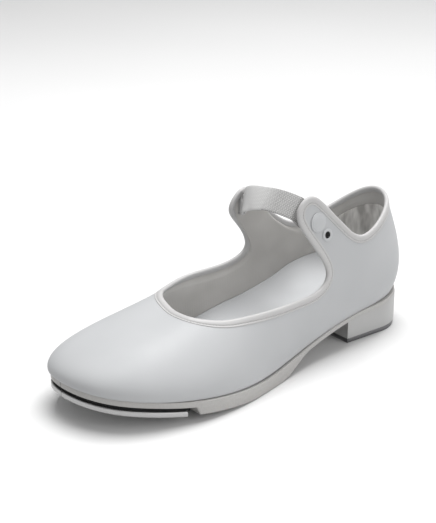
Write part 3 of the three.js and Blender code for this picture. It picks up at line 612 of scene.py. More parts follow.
snap_at, snap_out = fitting(6.8, 0.868)
eyelet_at, eyelet_out = fitting(7.07, 0.762)
slot_at, slot_out = fitting(13.86, 0.935)
width_guess = np.array([0, -0.7, -0.714])
strap_across = unit(width_guess - snap_out * (width_guess @ snap_out))
strap_up = unit(np.cross(strap_across, snap_out))
slot_guess = np.array([0, -0.08, -1.0])
slot_along = unit(slot_guess - slot_out * (slot_guess @ slot_out))
slot_side = unit(np.cross(slot_out, slot_along))


def strap_point(a, q, w=0.0):
    """Point in the strap's frame: a outwards from the ear, q up the strap, w across it."""
    a, q, w = (np.asarray(v, float)[..., None] for v in (a, q, w))
    return snap_at + snap_out * a + strap_up * q + strap_across * w


def turned(name, profile, centre, axis, around=48):
    """Surface of revolution: the profile's pairs of radius and distance along the axis are carried
    round the axis. A profile that starts and ends on the axis closes at its poles."""
    profile = np.asarray(profile, float)
    side = unit(np.cross(axis, [0.3, 0.2, 0.93]))
    other = np.cross(axis, side)
    angle = np.linspace(0, 2 * np.pi, around, endpoint=False)[:, None, None]
    radial = np.cos(angle) * side + np.sin(angle) * other
    points = centre + radial * profile[None, :, :1] + axis * profile[None, :, 1:]
    on_axis = profile[0, 0] < 1e-6 and profile[-1, 0] < 1e-6
    quads = grid_faces(around, len(profile), True, not on_axis)
    return build_mesh(name, points.reshape(-1, 3), quads, weld=1e-7)


def rounded_profile(points, radius=0.25, steps=4):
    """Softens a profile's corners: each inner corner becomes a short quadratic curve."""
    points = np.asarray(points, float)
    out = [points[:1]]
    for before, here, after in zip(points[:-2], points[1:-1], points[2:]):
        into, away = before - here, after - here
        reach = min(radius, 0.45 * np.linalg.norm(into), 0.45 * np.linalg.norm(away))
        start = here + unit(into) * reach
        stop = here + unit(away) * reach
        s = np.linspace(0, 1, steps)[:, None]
        out.append((1 - s) ** 2 * start + 2 * s * (1 - s) * here + s * s * stop)
    return np.concatenate([*out, points[-1:]])


EYELET_HOLE = 2.55
CUT_DEPTH = 8
CUT_HEIGHT = 3
hole_profile = [[0, -CUT_DEPTH], [EYELET_HOLE, -CUT_DEPTH], [EYELET_HOLE, CUT_HEIGHT], [0, CUT_HEIGHT]]
hole_cutter = turned("eyelet_cutter", hole_profile, eyelet_at, eyelet_out, 40)


def slot_shape(half_width, half_length, around=40):
    """Outline of a slot with round ends, in the plane across slot_side and slot_along."""
    a = np.linspace(0, 2 * np.pi, around, endpoint=False)
    straight = half_length - half_width
    side = half_width * np.cos(a)
    along = half_width * np.sin(a) + straight * np.sign(np.sin(a))
    return side, along


side, along = slot_shape(1.5, 6.2)
slot_ring = slot_at + side[:, None] * slot_side + along[:, None] * slot_along
slot_cutter = tube("slot_cutter", np.stack([slot_ring - slot_out * 7, slot_ring + slot_out * 5]), False)
print("snap at", np.round(snap_at, 1), "eyelet at", np.round(eyelet_at, 1), "slot at", np.round(slot_at, 1))

# %% Upper and lining
wall_rows = np.concatenate([np.linspace(0, 0.06, 9)[:-1], np.linspace(0.06, 1, 70)])
lining_rows = np.concatenate([np.linspace(0, 0.9, 40)[:-1], np.linspace(0.9, 1, 14)])
RIM_UPPER = 0.8
RIM_LINING = 1.0


def skived(full, at_rim):
    """A measure that goes from its full value 8 mm below the edge to its value at the rim, because
    the layers are pared thin where the binding folds over them."""
    return lambda below: full + (at_rim - full) * smooth(8.0, 2.5, below)


upper = wall_layer("upper", RING, lambda b: 0 * b, skived(UPPER_THICK, RIM_UPPER), wall_rows, TURN_IN,
                   edge_round=0.9)
piercing(upper, [hole_cutter, slot_cutter])
dress(upper, leather, SHOE, "upper_pu", "outer_upper")


lining = wall_layer("lining", RING[::2], skived(LINING_DEPTH, RIM_LINING), lambda b: LINING_THICK + 0 * b,
                    lining_rows, TURN_IN)
piercing(lining, [hole_cutter, slot_cutter])
dress(lining, lining_cloth, SHOE, "lining_textile", "upper_lining")

# %% Stiffeners between the layers
def stretch_of(low, high, count):
    """Evenly spaced places along a stretch of the topline."""
    return np.linspace(low, high, count)


def stiff_piece(name, low, high, bottom, top, margin, material, slot_name, node, cutters=()):
    """Stiff sheet between upper and lining over a stretch of the topline."""
    rows = np.linspace(bottom, top, 26)
    piece = wall_layer(name, stretch_of(low, high, 90), lambda b: STIFFENER_DEPTH + 0 * b,
                       lambda b: 0.6 + 0 * b, rows, margin, False)
    if cutters:
        piercing(piece, cutters)
    return dress(piece, material, SHOE, slot_name, node)


stiff_piece("counter", 19, 29, 0.0, 0.76, TURN_IN, tan_board, "fibre_board", "heel_counter")
stiff_piece("puff", 42, 52, 0.0, 0.42, TURN_IN, tan_board, "fibre_board", "toe_puff")
stiff_piece("ear_backing_outer", 12.2, 16.4, 0.6, 0.88, 0, backing_cloth, "lining_textile",
            "ear_reinforcement_lateral", [hole_cutter])
stiff_piece("ear_backing_inner", 31.8, 36.4, 0.6, 0.88, 0, backing_cloth, "lining_textile",
            "ear_reinforcement_medial", [slot_cutter])

# %% [markdown]
# ## Heel grip
# Inside the back of the shoe a soft nap lining holds the heel. It is a patch with round upper
# corners, so its upper edge is a formula: full height in the middle, falling off along an ellipse
# at both ends.

# %% Heel grip patch
def heel_grip():
    """Patch on the lining: the row of each place is scaled to an elliptical upper edge."""
    places = stretch_of(20.2, 27.8, 120)
    across = np.linspace(-1, 1, 120)
    top = 0.30 + 0.53 * (1 - np.abs(across) ** 6) ** (1 / 2.2)
    t = 0.28 + (top[:, None] - 0.28) * np.linspace(0, 1, 40)[None, :]
    swell = 0.25 * (1 - across[:, None] ** 8) * np.sin(np.pi * np.linspace(0.04, 0.96, 40))[None, :] ** 0.3
    outer = wall_point(places[:, None], t, LINING_INNER + 0.05)
    inner = wall_point(places[:, None], t, LINING_INNER + 0.45 + swell)[:, ::-1]
    return tube("grip", np.concatenate([outer, inner], axis=1), False)


dress(heel_grip(), suede, SHOE, "insole_textile", "heel_grip_lining")

# %% [markdown]
# ## Topline binding and its stitching
# A folded strip covers the raw edge of the upper all the way round. It shows as a soft roll, a
# stitched line in a shallow channel, and a narrow bead below it. A curve with a bevel would give a
# plain tube, so the section is drawn instead and carried round the edge in the surface's own
# directions: down from the edge, and depth through the wall.

# %% Binding section carried round the edge
def edge_point(place, below, depth):
    """Point a distance below the edge, square to it in the wall's surface, and at a depth."""
    place, below, depth = np.broadcast_arrays(*(np.asarray(v, float) for v in (place, below, depth)))
    station, share = grid_place(place, 1.0)
    along, upward = slopes(station, share)
    ahead = wall_point(place + 0.05, 1.0, 0.0) - wall_point(place - 0.05, 1.0, 0.0)
    down = unit(np.cross(ahead, np.cross(along, upward))) * below[..., None]
    uu, uh, hh = ((x * y).sum(-1) for x, y in ((along, along), (along, upward), (upward, upward)))
    bu, bh = (down * along).sum(-1), (down * upward).sum(-1)
    det = uu * hh - uh * uh
    return at_depth(station + (bu * hh - bh * uh) / det, share + (bh * uu - bu * uh) / det, depth)


# below and depth: bead, stitched channel, roll over the edge, inner flange, and back through the wall
BINDING_SECTION = np.array([
    [4.3, 0.12], [4.35, -0.14], [4.05, -0.36], [3.6, -0.38], [3.3, -0.24], [3.05, 0.06],
    [2.75, -0.26], [2.1, -0.52], [1.1, -0.62], [0.15, -0.52], [-0.5, -0.12], [-0.78, 0.5],
    [-0.78, 1.1], [-0.5, 1.75], [0.1, 2.15], [1.0, 2.32],
    [2.0, 2.3], [2.7, 2.2], [2.85, 1.9], [2.0, 1.4], [2.0, 0.8], [3.4, 0.45],
])


def even_closed(points, count):
    """Closed spline through the listed section points, sampled at count places."""
    return closed_spline(points, np.linspace(0, len(points), count, endpoint=False))


section = even_closed(BINDING_SECTION, 66)
BINDING_RING = np.linspace(0, ROUND, 1100, endpoint=False)
binding_points = edge_point(BINDING_RING[:, None], section[None, :, 0], section[None, :, 1])
binding = tube("binding", binding_points, True)
dress(binding, binding_leather, SHOE, "binding_pu", "topline_binding")

# %% Stitches in the channel
def even_places(pitch, below):
    """Places on the closed topline at an even distance, by inverting its running length."""
    fine = np.linspace(0, ROUND, 4000)
    line = edge_point(fine, below, 0.0)
    run = np.concatenate([[0], np.cumsum(np.linalg.norm(np.diff(line, axis=0), axis=1))])
    count = int(run[-1] / pitch)
    return np.interp(np.arange(count) * run[-1] / count, run, fine)


def stitch_row(name, below, depth, pitch=1.9, length=1.25, radius=0.17):
    """One small capsule a stitch: a ring of eight points at seven stops, thick in the middle, set
    along the edge and dipping into the leather at both ends."""
    middle = even_places(pitch, below)
    ahead = unit(edge_point(middle + 0.02, below, depth) - edge_point(middle - 0.02, below, depth))
    centre = edge_point(middle, below, depth)
    out = unit(edge_point(middle, below, depth - 1) - centre)
    side = np.cross(ahead, out)
    stop = np.linspace(-1, 1, 7)[None, :, None, None]
    ring = np.linspace(0, 2 * np.pi, 8, endpoint=False)[None, None, :, None]
    width = radius * np.sqrt(np.maximum(1 - stop**2, 0.02))
    a, o, s, c = (v[:, None, None, :] for v in (ahead, out, side, centre))
    points = c + a * stop * length / 2 + o * (np.cos(ring) * width - 0.2 * stop**4) + s * np.sin(ring) * width
    count = len(middle)
    one = grid_faces(7, 8, False, True)
    quads = (one[None] + 56 * np.arange(count)[:, None, None]).reshape(-1, 4)
    first, final = np.arange(8)[::-1], 48 + np.arange(8)
    caps = [loop + 56 * k for k in range(count) for loop in (first, final)]
    return build_mesh(name, points.reshape(-1, 3), quads, caps)


dress(stitch_row("binding_stitches", 3.03, -0.12), thread, SHOE, "binding_pu")
dress(stitch_row("inner_stitches", 1.9, 2.3, 1.9, 1.2, 0.15), thread, SHOE, "binding_pu")

# %% [markdown]
# ## Insole, sole and heel
# Everything under the foot follows the feather line, moved in or out by an even distance. A slab
# helper lofts closed sections along the foot: its sides come from that outline, its top and bottom
# from a height formula, and its edges from a quarter circle, so no bevel is needed.

# %% Outline of the foot
def foot_outline(inset, seat_inset=0.0, toe_inset=0.0):
    """Medial and lateral edge at any y: the feather line is moved inwards by inset, by a further
    seat_inset round the heel seat and by toe_inset round the toe, and cut by straight lines across
    the foot."""
    station = np.linspace(0, TURN, 1440, endpoint=False)
    point = last_point(station, 0.0)
    ahead = last_point(station + 0.05, 0.0) - last_point(station - 0.05, 0.0)
    inwards = unit(np.c_[-ahead[:, 1], ahead[:, 0], 0 * station])
    y = point[:, 1:2]
    edge = point + inwards * (inset + seat_inset * smooth(-20, 10, y) + toe_inset * smooth(-150, -195, y))
    toe, back = edge[:, 1].argmin(), edge[:, 1].argmax()
    order = np.arange(1440)
    outer = order[(order - toe) % 1440 <= (back - toe) % 1440]
    outer = outer[np.argsort(edge[outer, 1])]
    inner = order[(order - toe) % 1440 >= (back - toe) % 1440]
    inner = np.append(inner, toe)
    inner = inner[np.argsort(edge[inner, 1])]
    return edge[toe, 1], edge[back, 1], edge[inner], edge[outer]


def foot_sides(inset, seat_inset=0.0, toe_inset=0.0):
    """Function from y to the two x values of an outline, with its lowest and highest y."""
    low, high, inner, outer = foot_outline(inset, seat_inset, toe_inset)

    def sides(y):
        """The inner and outer x at y, read from the outline's two point lists."""
        return np.interp(y, inner[:, 1], inner[:, 0]), np.interp(y, outer[:, 1], outer[:, 0])

    return low, high, sides


def foot_rows(low, high, count, extra=()):
    """Rows along the foot, close together at the two ends where the outline turns, plus any extra
    rows that a step or a rib needs."""
    s = np.linspace(0, 1, count)
    rows = low + (high - low) * (s - np.sin(2 * np.pi * s) / (2 * np.pi))
    rows = np.unique(np.round(np.concatenate([rows, [y for y in extra if low < y < high]]), 3))
    return rows


def slab(name, outline_at, rows, top, bottom, edge=0.5, across=28, arc=5):
    """Closed slab: each section runs over the top, round the side, back under and up the other
    side. At the corners the outline moves in by edge times one minus the sine of the turn."""
    turn = np.linspace(0, np.pi / 2, arc)
    inset = edge * (1 - np.sin(turn))
    drop = edge * (1 - np.cos(turn))
    low, high, _ = outline_at(0.0)
    reach = (rows - rows[0]) / (rows[-1] - rows[0])
    left, right, ys = [], [], []
    for e in inset:
        lo, hi, sides = outline_at(e)
        start = max(rows[0] + (lo - low), lo) + 1e-4
        stop = min(rows[-1] - (high - hi), hi) - 1e-4
        y = start + (stop - start) * reach
        a, b = sides(y)
        left.append(a)
        right.append(b)
        ys.append(y)
    flat = np.linspace(0, 1, across)[1:-1]
    ring = []
    for k in range(arc):
        ring.append((right[k], ys[k], top(ys[k]) - drop[k]))
    for k in range(arc - 1, -1, -1):
        ring.append((right[k], ys[k], bottom(ys[k]) + drop[k]))
    for f in flat[::-1]:
        ring.append((left[0] + (right[0] - left[0]) * f, ys[0], bottom(ys[0])))
    for k in range(arc):
        ring.append((left[k], ys[k], bottom(ys[k]) + drop[k]))
    for k in range(arc - 1, -1, -1):
        ring.append((left[k], ys[k], top(ys[k]) - drop[k]))
    for f in flat:
        ring.append((left[0] + (right[0] - left[0]) * f, ys[0], top(ys[0])))
    points = np.stack([np.stack(column, -1) for column in ring], axis=1)
    return tube(name, points, False)


print("foot outline, y from", np.round(foot_outline(0)[0], 1), "to", np.round(foot_outline(0)[1], 1))

# %% Insole board, sock and heel pad
def inset_outline(base, seat_inset=0.0, toe_inset=0.0):
    """An outline function for slab: the feather line moved in by base plus the corner's inset."""
    return lambda e: foot_sides(base + e, seat_inset, toe_inset)


def above(offset):
    """Height function: the feather height plus an offset."""
    return lambda y: feather_height(y) + offset


BOARD_BASE = LINING_INNER + GAP
BOARD_TOP = BOARD_BASE + 1.7
board_low, board_high, _ = foot_sides(LINING_INNER + 0.9)
board_rows = foot_rows(board_low, board_high, 120)
board = slab("insole_board_piece", inset_outline(LINING_INNER + 0.9), board_rows, above(BOARD_TOP),
             above(BOARD_BASE))
dress(board, tan_board, SHOE, "fibre_board", "insole_board")


def sock_base(y):
    """Underside of the footbed: it lies on the board and rises over the foam pad under the heel."""
    return feather_height(y) + BOARD_TOP + 0.1 + 1.9 * smooth(-46, -27, y)


def edge_rise(y):
    """How far the footbed's inner edge stands above its middle: nothing at the ball, 11 mm at the
    waist and the heel, and little at the very back, under the grip."""
    return 11 * smooth(-135, -80, y) * (1 - 0.75 * smooth(-2, 16, y))


def wall_meeting(ys, lift, side):
    """Where the footbed's edge meets the lining: on each wall curve the height of the lining's inner
    face is compared with the edge height, and the crossing is found by interpolation. Returns x at
    the given rows for the inner or the outer side of the foot."""
    station = np.linspace(0, TURN, 720, endpoint=False)
    share = np.linspace(0.0, 0.5, 60)
    wall = at_depth(station[:, None], share[None, :], np.full((720, 60), LINING_INNER + 0.12))
    base = sock_base(wall[..., 1]) + lift(wall[..., 1])
    over = wall[..., 2] - base
    first = np.argmax(over > 0, axis=1)
    row = np.arange(720)
    low, high = over[row, np.maximum(first - 1, 0)], over[row, first]
    mix = np.where(first > 0, -low / np.maximum(high - low, 1e-9), 0.0)[:, None]
    met = wall[row, np.maximum(first - 1, 0)] * (1 - mix) + wall[row, first] * mix
    chosen = met[met[:, 0] * side > -6]
    chosen = chosen[np.argsort(chosen[:, 1])]
    keep = np.concatenate([[True], np.diff(chosen[:, 1]) > 0.02])
    return np.interp(ys, chosen[keep, 1], chosen[keep, 0])


SOCK_THICK = 1.0
OUTER_SHARE = 0.6
sock_low, sock_high, sock_sides = foot_sides(LINING_INNER + 0.9)
sock_ys = foot_rows(sock_low + 2.2, min(sock_high, 22.5), 190)


def footbed():
    """Closed sheet whose rows run across the foot. Its top is flat in the middle and curls up to the
    lining at both edges, as a power of the distance from the middle, and each edge is rounded."""
    ys = sock_ys
    left = wall_meeting(ys, lambda y: edge_rise(y) + SOCK_THICK, -1)
    right = wall_meeting(ys, lambda y: edge_rise(y) * OUTER_SHARE + SOCK_THICK, 1)
    flat_left, flat_right = sock_sides(ys)
    near = smooth(-190, -150, ys)
    left = flat_left + (left - flat_left) * near
    right = flat_right + (right - flat_right) * near
    f = np.concatenate([np.linspace(0, 0.04, 5)[:-1], np.linspace(0.04, 0.96, 60),
                        np.linspace(0.96, 1, 5)[1:]])
    x = left[:, None] + (right - left)[:, None] * f
    side = np.abs(2 * f - 1) ** 2.2 * np.where(f < 0.5, 1.0, OUTER_SHARE)
    rise = edge_rise(ys)[:, None] * side
    edge = np.minimum(f, 1 - f)[None, :] * (right - left)[:, None]
    curl = 0.55 * (1 - np.sqrt(1 - np.clip(1 - edge / 0.9, 0, 1) ** 2))
    base = sock_base(ys)[:, None]
    y = np.broadcast_to(ys[:, None], x.shape)
    top = np.stack([x, y, base + rise + SOCK_THICK - curl], -1)
    under = np.stack([x, y, base + rise * 0.98 + curl * 0.6], -1)[:, ::-1]
    return tube("footbed", np.concatenate([top, under], axis=1), False)


dress(footbed(), sock_skin, SHOE, "insole_textile", "sock_liner")

pad = slab("heel_pad", inset_outline(11.0), foot_rows(-24, 16, 60), above(BOARD_TOP + 1.75),
           above(BOARD_TOP + 0.1), 0.7)
dress(pad, cushion_foam, SHOE, "foam", "heel_cushion")

# %% [markdown]
# ## Outsole
# The sole sheet is thin at the waist and thick at the ball. Behind the toe tap it steps down, and
# there its tread has fine ribs across the foot, which show as small teeth along its lower edge.

# %% Outsole with its step and ribs
SOLE_TOP = -0.05
FORE_THICK = 3.4
WAIST_THICK = 2.3
STEP_Y = -160.0
RIB_PITCH = 1.9
RIB_DEPTH = 0.5
RIBS_END = -84.0


def sole_bottom(y):
    """Under the toe the sheet is level with its top; behind the step it comes down to the floor,
    lies flat at the ball and thins out to the waist. Ribs are a rectified sine cut upwards."""
    top = feather_height(y) - GAP
    tread = 0.0655 * np.maximum(-119 - y, 0) ** 1.15
    thin = top - WAIST_THICK
    behind = tread + (thin - tread) * smooth(-95, -65, y)
    fade = smooth(RIBS_END, RIBS_END - 14, y)
    ribs = RIB_DEPTH * np.abs(np.sin(np.pi * (y - STEP_Y) / RIB_PITCH)) ** 0.7 * fade
    return np.where(y < STEP_Y, top - FORE_THICK, behind + ribs)


rib_rows = np.arange(STEP_Y + 0.02, RIBS_END, RIB_PITCH / 8)
SEAT_INSET = -0.9
SOLE_TOE_INSET = 2.4
sole_low, sole_high, _ = foot_sides(-1.2, SEAT_INSET, SOLE_TOE_INSET)
sole_rows = foot_rows(sole_low, sole_high, 170, [STEP_Y - 0.02, *rib_rows])
outsole = slab("outsole_piece", inset_outline(-1.2, SEAT_INSET, SOLE_TOE_INSET), sole_rows, above(SOLE_TOP),
               sole_bottom, 0.35, 26, 4)
dress(outsole, sole_rubber, SHOE, "sole_rubber", "outsole")

# %% [markdown]
# ## Toe tap
# The tap is a cast plate that follows the toe, screwed up into the sole through a black fibre
# board. Its edge is rounded by wear and its underside brushed by the floor.

# %% Fibre board and tap plate
BOARD_SPACER = 1.8
TAP_THICK = 3.4
TAP_REAR = -167.0
TAP_TOE_INSET = 1.6


def tap_stack(y, depth):
    """Height of a layer under the toe: the sole's underside there, less a depth."""
    return feather_height(y) - GAP - FORE_THICK - depth


spacer_low, _, _ = foot_sides(0.9, 0.0, TAP_TOE_INSET)
spacer_rows = foot_rows(spacer_low, TAP_REAR + 60, 150)
spacer_rows = np.append(spacer_rows[spacer_rows < TAP_REAR + 1.8], TAP_REAR + 2)
spacer = slab("tap_board", inset_outline(0.9, 0.0, TAP_TOE_INSET), spacer_rows, lambda y: tap_stack(y, 0.05),
              lambda y: tap_stack(y, GAP + BOARD_SPACER + 0.25), 0.2, 24, 3)
dress(spacer, black_board, SHOE, "black_board", "toe_tap_board")

tap_low, _, _ = foot_sides(-0.4, 0.0, TAP_TOE_INSET)
tap_rows = foot_rows(tap_low, TAP_REAR + 60, 150)
rear_rows = TAP_REAR - 0.6 * np.cos(np.linspace(0, np.pi / 2, 5))
tap_rows = np.append(tap_rows[tap_rows < TAP_REAR - 0.9], rear_rows)
TAP_TOP = GAP + BOARD_SPACER + GAP


def tap_end(y):
    """Rounding of the plate's straight rear edge, a quarter circle in the last 0.6 mm."""
    near = np.clip((y - (TAP_REAR - 0.6)) / 0.6, 0, 1)
    return 0.6 * (1 - np.sqrt(np.maximum(1 - near**2, 0)))


tap = slab("toe_tap", inset_outline(-0.4, 0.0, TAP_TOE_INSET), tap_rows,
           lambda y: tap_stack(y, TAP_TOP) - tap_end(y),
           lambda y: tap_stack(y, TAP_TOP + TAP_THICK) + tap_end(y), 0.7, 30, 6)
dress(tap, tap_metal, SHOE, "tap_aluminium", "toe_tap_plate")

# %% [markdown]
# ## Heel
# A low heel of moulded plastic stands under the seat. Its outline is a D: a straight front, two
# nearly parallel sides and a round back. The heel tap is a plate of the same outline, a little
# smaller, with a worn edge.

# %% Heel block and heel tap
HEEL_FRONT = -24.5
HEEL_HALF = 25.0
HEEL_CENTRE = 6.0


def heel_outline(base):
    """Outline function for slab: sides widen from the front corners to the round back."""

    def at(e):
        """The heel's outline drawn in by base plus e."""
        inset = base + e
        front, radius = HEEL_FRONT + inset, HEEL_HALF - inset
        front_half = HEEL_HALF - 1 - inset

        def sides(y):
            """Half width at y: a straight taper to the centre, then a circle."""
            t = np.clip((y - front) / (HEEL_CENTRE - front), 0, 1)
            half = np.where(y < HEEL_CENTRE, front_half + (radius - front_half) * t,
                            np.sqrt(np.maximum(radius**2 - (y - HEEL_CENTRE) ** 2, 0)))
            return -half, half

        return front, HEEL_CENTRE + radius, sides

    return at


def heel_rows(base, count=90):
    """Rows from the straight front to the round back, closer together at the back."""
    low, high, _ = heel_outline(base)(0.0)
    s = np.linspace(0, np.pi / 2, count)
    return np.concatenate([low + np.linspace(0, HEEL_CENTRE - low, 20)[:-1],
                           HEEL_CENTRE + (high - HEEL_CENTRE) * np.sin(s)])


block = slab("heel_block_piece", heel_outline(0.0), heel_rows(0.0),
             lambda y: feather_height(y) - GAP - WAIST_THICK - 0.05, lambda y: 3.1 + 0 * y, 0.45, 30)
dress(block, heel_cover, SHOE, "heel_plastic", "heel_block")
HEEL_TAP_THICK = 3.0
# The heel tap's dark tone is painted shade: the shadow under the heel and the dark the metal reflects.
heel_tap = slab("heel_tap", heel_outline(0.4), heel_rows(0.4), lambda y: HEEL_TAP_THICK + 0 * y,
                lambda y: 0 * y, 0.55, 30, 6)
dress(heel_tap, heel_tap_metal, SHOE, "heel_tap_metal", "heel_tap_plate")

# %% [markdown]
# ## Screws
# Six countersunk screws hold the taps. Only their heads show, so each is a disc of rings with a
# cross pressed into it, over a short tapered shank.

# %% Countersunk screws
def screw(name, centre, axis, length):
    """Head as a polar grid whose middle is pressed in along a cross: the dent is the product of two
    smooth steps, one across each arm and one at the arm's end. The shank follows the same grid."""
    side = unit(np.cross(axis, [1.0, 0.1, 0.0]))
    other = np.cross(axis, side)
    angle = np.linspace(0, 2 * np.pi, 64, endpoint=False)[None, :]
    radius = np.array([0.02, 0.3, 0.55, 0.8, 1.1, 1.4, 1.7, 2.0, 2.4, 2.8, 3.05, 3.2])[:, None]
    x, y = radius * np.cos(angle), radius * np.sin(angle)
    arm = np.maximum(smooth(0.55, 0.3, np.abs(x)), smooth(0.55, 0.3, np.abs(y)))
    dent = 0.9 * arm * smooth(2.1, 1.7, radius)
    height = 0.3 + dent + 0.12 * smooth(2.8, 3.2, radius)
    head = centre + x[..., None] * side + y[..., None] * other + height[..., None] * axis
    shank = []
    for r, h in ((3.2, 0.6), (1.4, 2.0), (1.4, length - 1.5), (0.05, length)):
        outwards = np.cos(angle[0])[:, None] * side + np.sin(angle[0])[:, None] * other
        shank.append(centre + r * outwards + h * axis)
    return tube(name, np.concatenate([head, np.stack(shank)]), False)


def tap_axis(y):
    """Direction square to the sloping underside of the toe tap, pointing up into the sole."""
    rise = (tap_stack(y + 1, 0.0) - tap_stack(y - 1, 0.0)) / 2
    return unit(np.array([0, -rise, 1.0]))


TOE_SCREW_LENGTH = TAP_THICK + BOARD_SPACER + FORE_THICK - 1.2
for number, (x, y) in enumerate([(-20.0, -178.0), (22.0, -178.0), (0.0, -204.0)], 1):
    at = np.array([x, y, tap_stack(y, TAP_TOP + TAP_THICK)])
    piece = screw(f"toe_screw_{number}", at, tap_axis(y), TOE_SCREW_LENGTH)
    dress(piece, screw_steel, SHOE, "steel", f"toe_tap_screw_{number}")
for number, (x, y) in enumerate([(-15.0, -15.0), (15.0, -15.0), (0.0, 20.0)], 1):
    piece = screw(f"heel_screw_{number}", np.array([x, y, 0.0]), np.array([0, 0, 1.0]), 12.0)
    dress(piece, screw_steel, SHOE, "steel", f"heel_tap_screw_{number}")

# %% [markdown]
# ## Elastic strap
# The strap is woven elastic. Its outer end carries the snap and lies flat on the inside of the outer
# ear; the band bends up over the instep and passes through a slot in the inner ear, where it is
# folded back and sewn. A flat band is best made directly: a smooth line for its middle, a direction
# for its width, and a section with small ribs. It is three meshes: the inner half, the outer half
# and the folded tail.

# %% Band along a line
BAND_HALF = 0.6
BAND_WIDTH = 15.5
CORNER = (-7.0, 13.5)
CROWN = (-28.5, 19.0)
END_REACH = -5.5


def through(points, count, rounds=3):
    """Smooth open line: corners are cut in rounds, a quarter from each end of every stretch, and
    the result is sampled evenly along its length."""
    line = np.asarray(points, float)
    for _ in range(rounds):
        near, far = 0.75 * line[:-1] + 0.25 * line[1:], 0.25 * line[:-1] + 0.75 * line[1:]
        line = np.concatenate([line[:1], np.stack([near, far], 1).reshape(-1, line.shape[1]), line[-1:]])
    run = np.concatenate([[0], np.cumsum(np.linalg.norm(np.diff(line[:, :3], axis=0), axis=1))])
    at = np.linspace(0, run[-1], count)
    return np.stack([np.interp(at, run, line[:, k]) for k in range(line.shape[1])], -1), at


def band(name, middle, across, width, start, ribs=18, half=BAND_HALF, relief=0.06):
    """Closed section along a line: across the upper face with rounded ribs, round the edge, and back
    along the lower face. start is the running length at the first point, for the UV map."""
    path = unit(np.gradient(middle, axis=0))
    across = unit(across - path * (across * path).sum(-1, keepdims=True))
    face = np.cross(across, path)
    f = np.linspace(-1, 1, 91)
    edge = np.sqrt(np.maximum(1 - np.abs(f) ** 14, 0))
    ribbed = half * edge + relief * (np.abs(np.sin(np.pi * ribs * (f + 1) / 2)) ** 0.6 - 1) * edge
    w = np.concatenate([f, f[::-1][1:-1]])
    d = np.concatenate([ribbed, -ribbed[::-1][1:-1]])
    half_width = (np.asarray(width) / 2 * np.ones(len(middle)))[:, None, None]
    sideways = across[:, None] * w[None, :, None] * half_width
    points = middle[:, None] + sideways + face[:, None] * d[None, :, None]
    run = start + np.concatenate([[0], np.cumsum(np.linalg.norm(np.diff(middle, axis=0), axis=1))])
    uv = np.stack([np.repeat(run, len(w)), np.tile(w * BAND_WIDTH / 2, len(middle))], -1)
    return tube(name, points, False, uv)


def bridge_line(count):
    """Middle of the bridge in the strap's plane: a straight span with a sine bow on top."""
    s = np.linspace(0, 1, count)
    a = CROWN[0] + (CORNER[0] - CROWN[0]) * s
    q = CROWN[1] + (CORNER[1] - CROWN[1]) * s
    run = np.hypot(CORNER[0] - CROWN[0], CORNER[1] - CROWN[1])
    bow = 1.6 * np.sin(np.pi * s)
    return np.stack([a - (CORNER[1] - CROWN[1]) / run * bow, q + (CORNER[0] - CROWN[0]) / run * bow], -1)


def slot_line():
    """Middle and width direction from the crown hinge to the slot: an arched crossing that turns
    from the strap's own plane to stand upright in the slot."""
    start = strap_point(*CROWN)
    inner = slot_at - slot_out * (LINING_INNER + 2)
    s = np.linspace(0, 1, 9)[:, None]
    line = start + (inner - start) * s + strap_up * 5.6 * np.sin(np.pi * s**1.3) * (1 - 0.1 * s)
    turn = smooth(0, 1, s)
    across = unit(strap_across * (1 - turn) + slot_along * turn)
    return line, across


crossing, crossing_across = slot_line()
print("crossing length", np.round(np.linalg.norm(np.diff(crossing, axis=0), axis=1).sum(), 1), "mm")

# %% Strap meshes
def bridge_points(part):
    """Bridge points in the row frame between two shares of its length."""
    line = bridge_line(81)
    low, high = (int(round(80 * v)) for v in part)
    picked = line[low:high + 1]
    return strap_point(picked[:, 0], picked[:, 1])


def strap_inner_half():
    """From the slot over the crown hinge to the middle of the bridge."""
    outside = slot_at - slot_out * 0.1
    line = np.concatenate([outside[None], crossing[::-1][:-1], bridge_points((0, 0.5))])
    across = np.concatenate([slot_along[None], crossing_across[::-1][:-1],
                             np.repeat(strap_across[None], len(line) - 9, 0)])
    narrow = np.concatenate([[0.0], 1 - smooth(0.72, 1.0, np.linspace(1, 0, 9))[:-1], np.ones(len(line) - 9)])
    rows = np.c_[line, across, narrow]
    smoothed, run = through(rows, 120)
    width = 12.0 + (BAND_WIDTH - 12.0) * smoothed[:, 6]
    return band("strap_inner", smoothed[:, :3], smoothed[:, 3:6], width, 0.0), run[-1]


strap_inner, inner_run = strap_inner_half()


def strap_outer_half():
    """From the middle of the bridge round the corner down to the free end on the ear."""
    bridge = bridge_points((0.5, 1.0))[:-3]
    down = np.linspace(CORNER[1] - 1.6, END_REACH, 12)
    line = np.concatenate([bridge, strap_point(np.full(12, CORNER[0]), down)])
    smoothed, _ = through(line, 110)
    across = np.repeat(strap_across[None], 110, 0)
    return band("strap_outer", smoothed, across, BAND_WIDTH, inner_run)


strap_outer = strap_outer_half()
for piece, nodes in ((strap_inner, ["strap_bridge", "strap_anchor"]), (strap_outer, ["strap_end"])):
    piece.data.materials.append(elastic)
    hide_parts(*nodes)


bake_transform(strap_inner)
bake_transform(strap_outer)
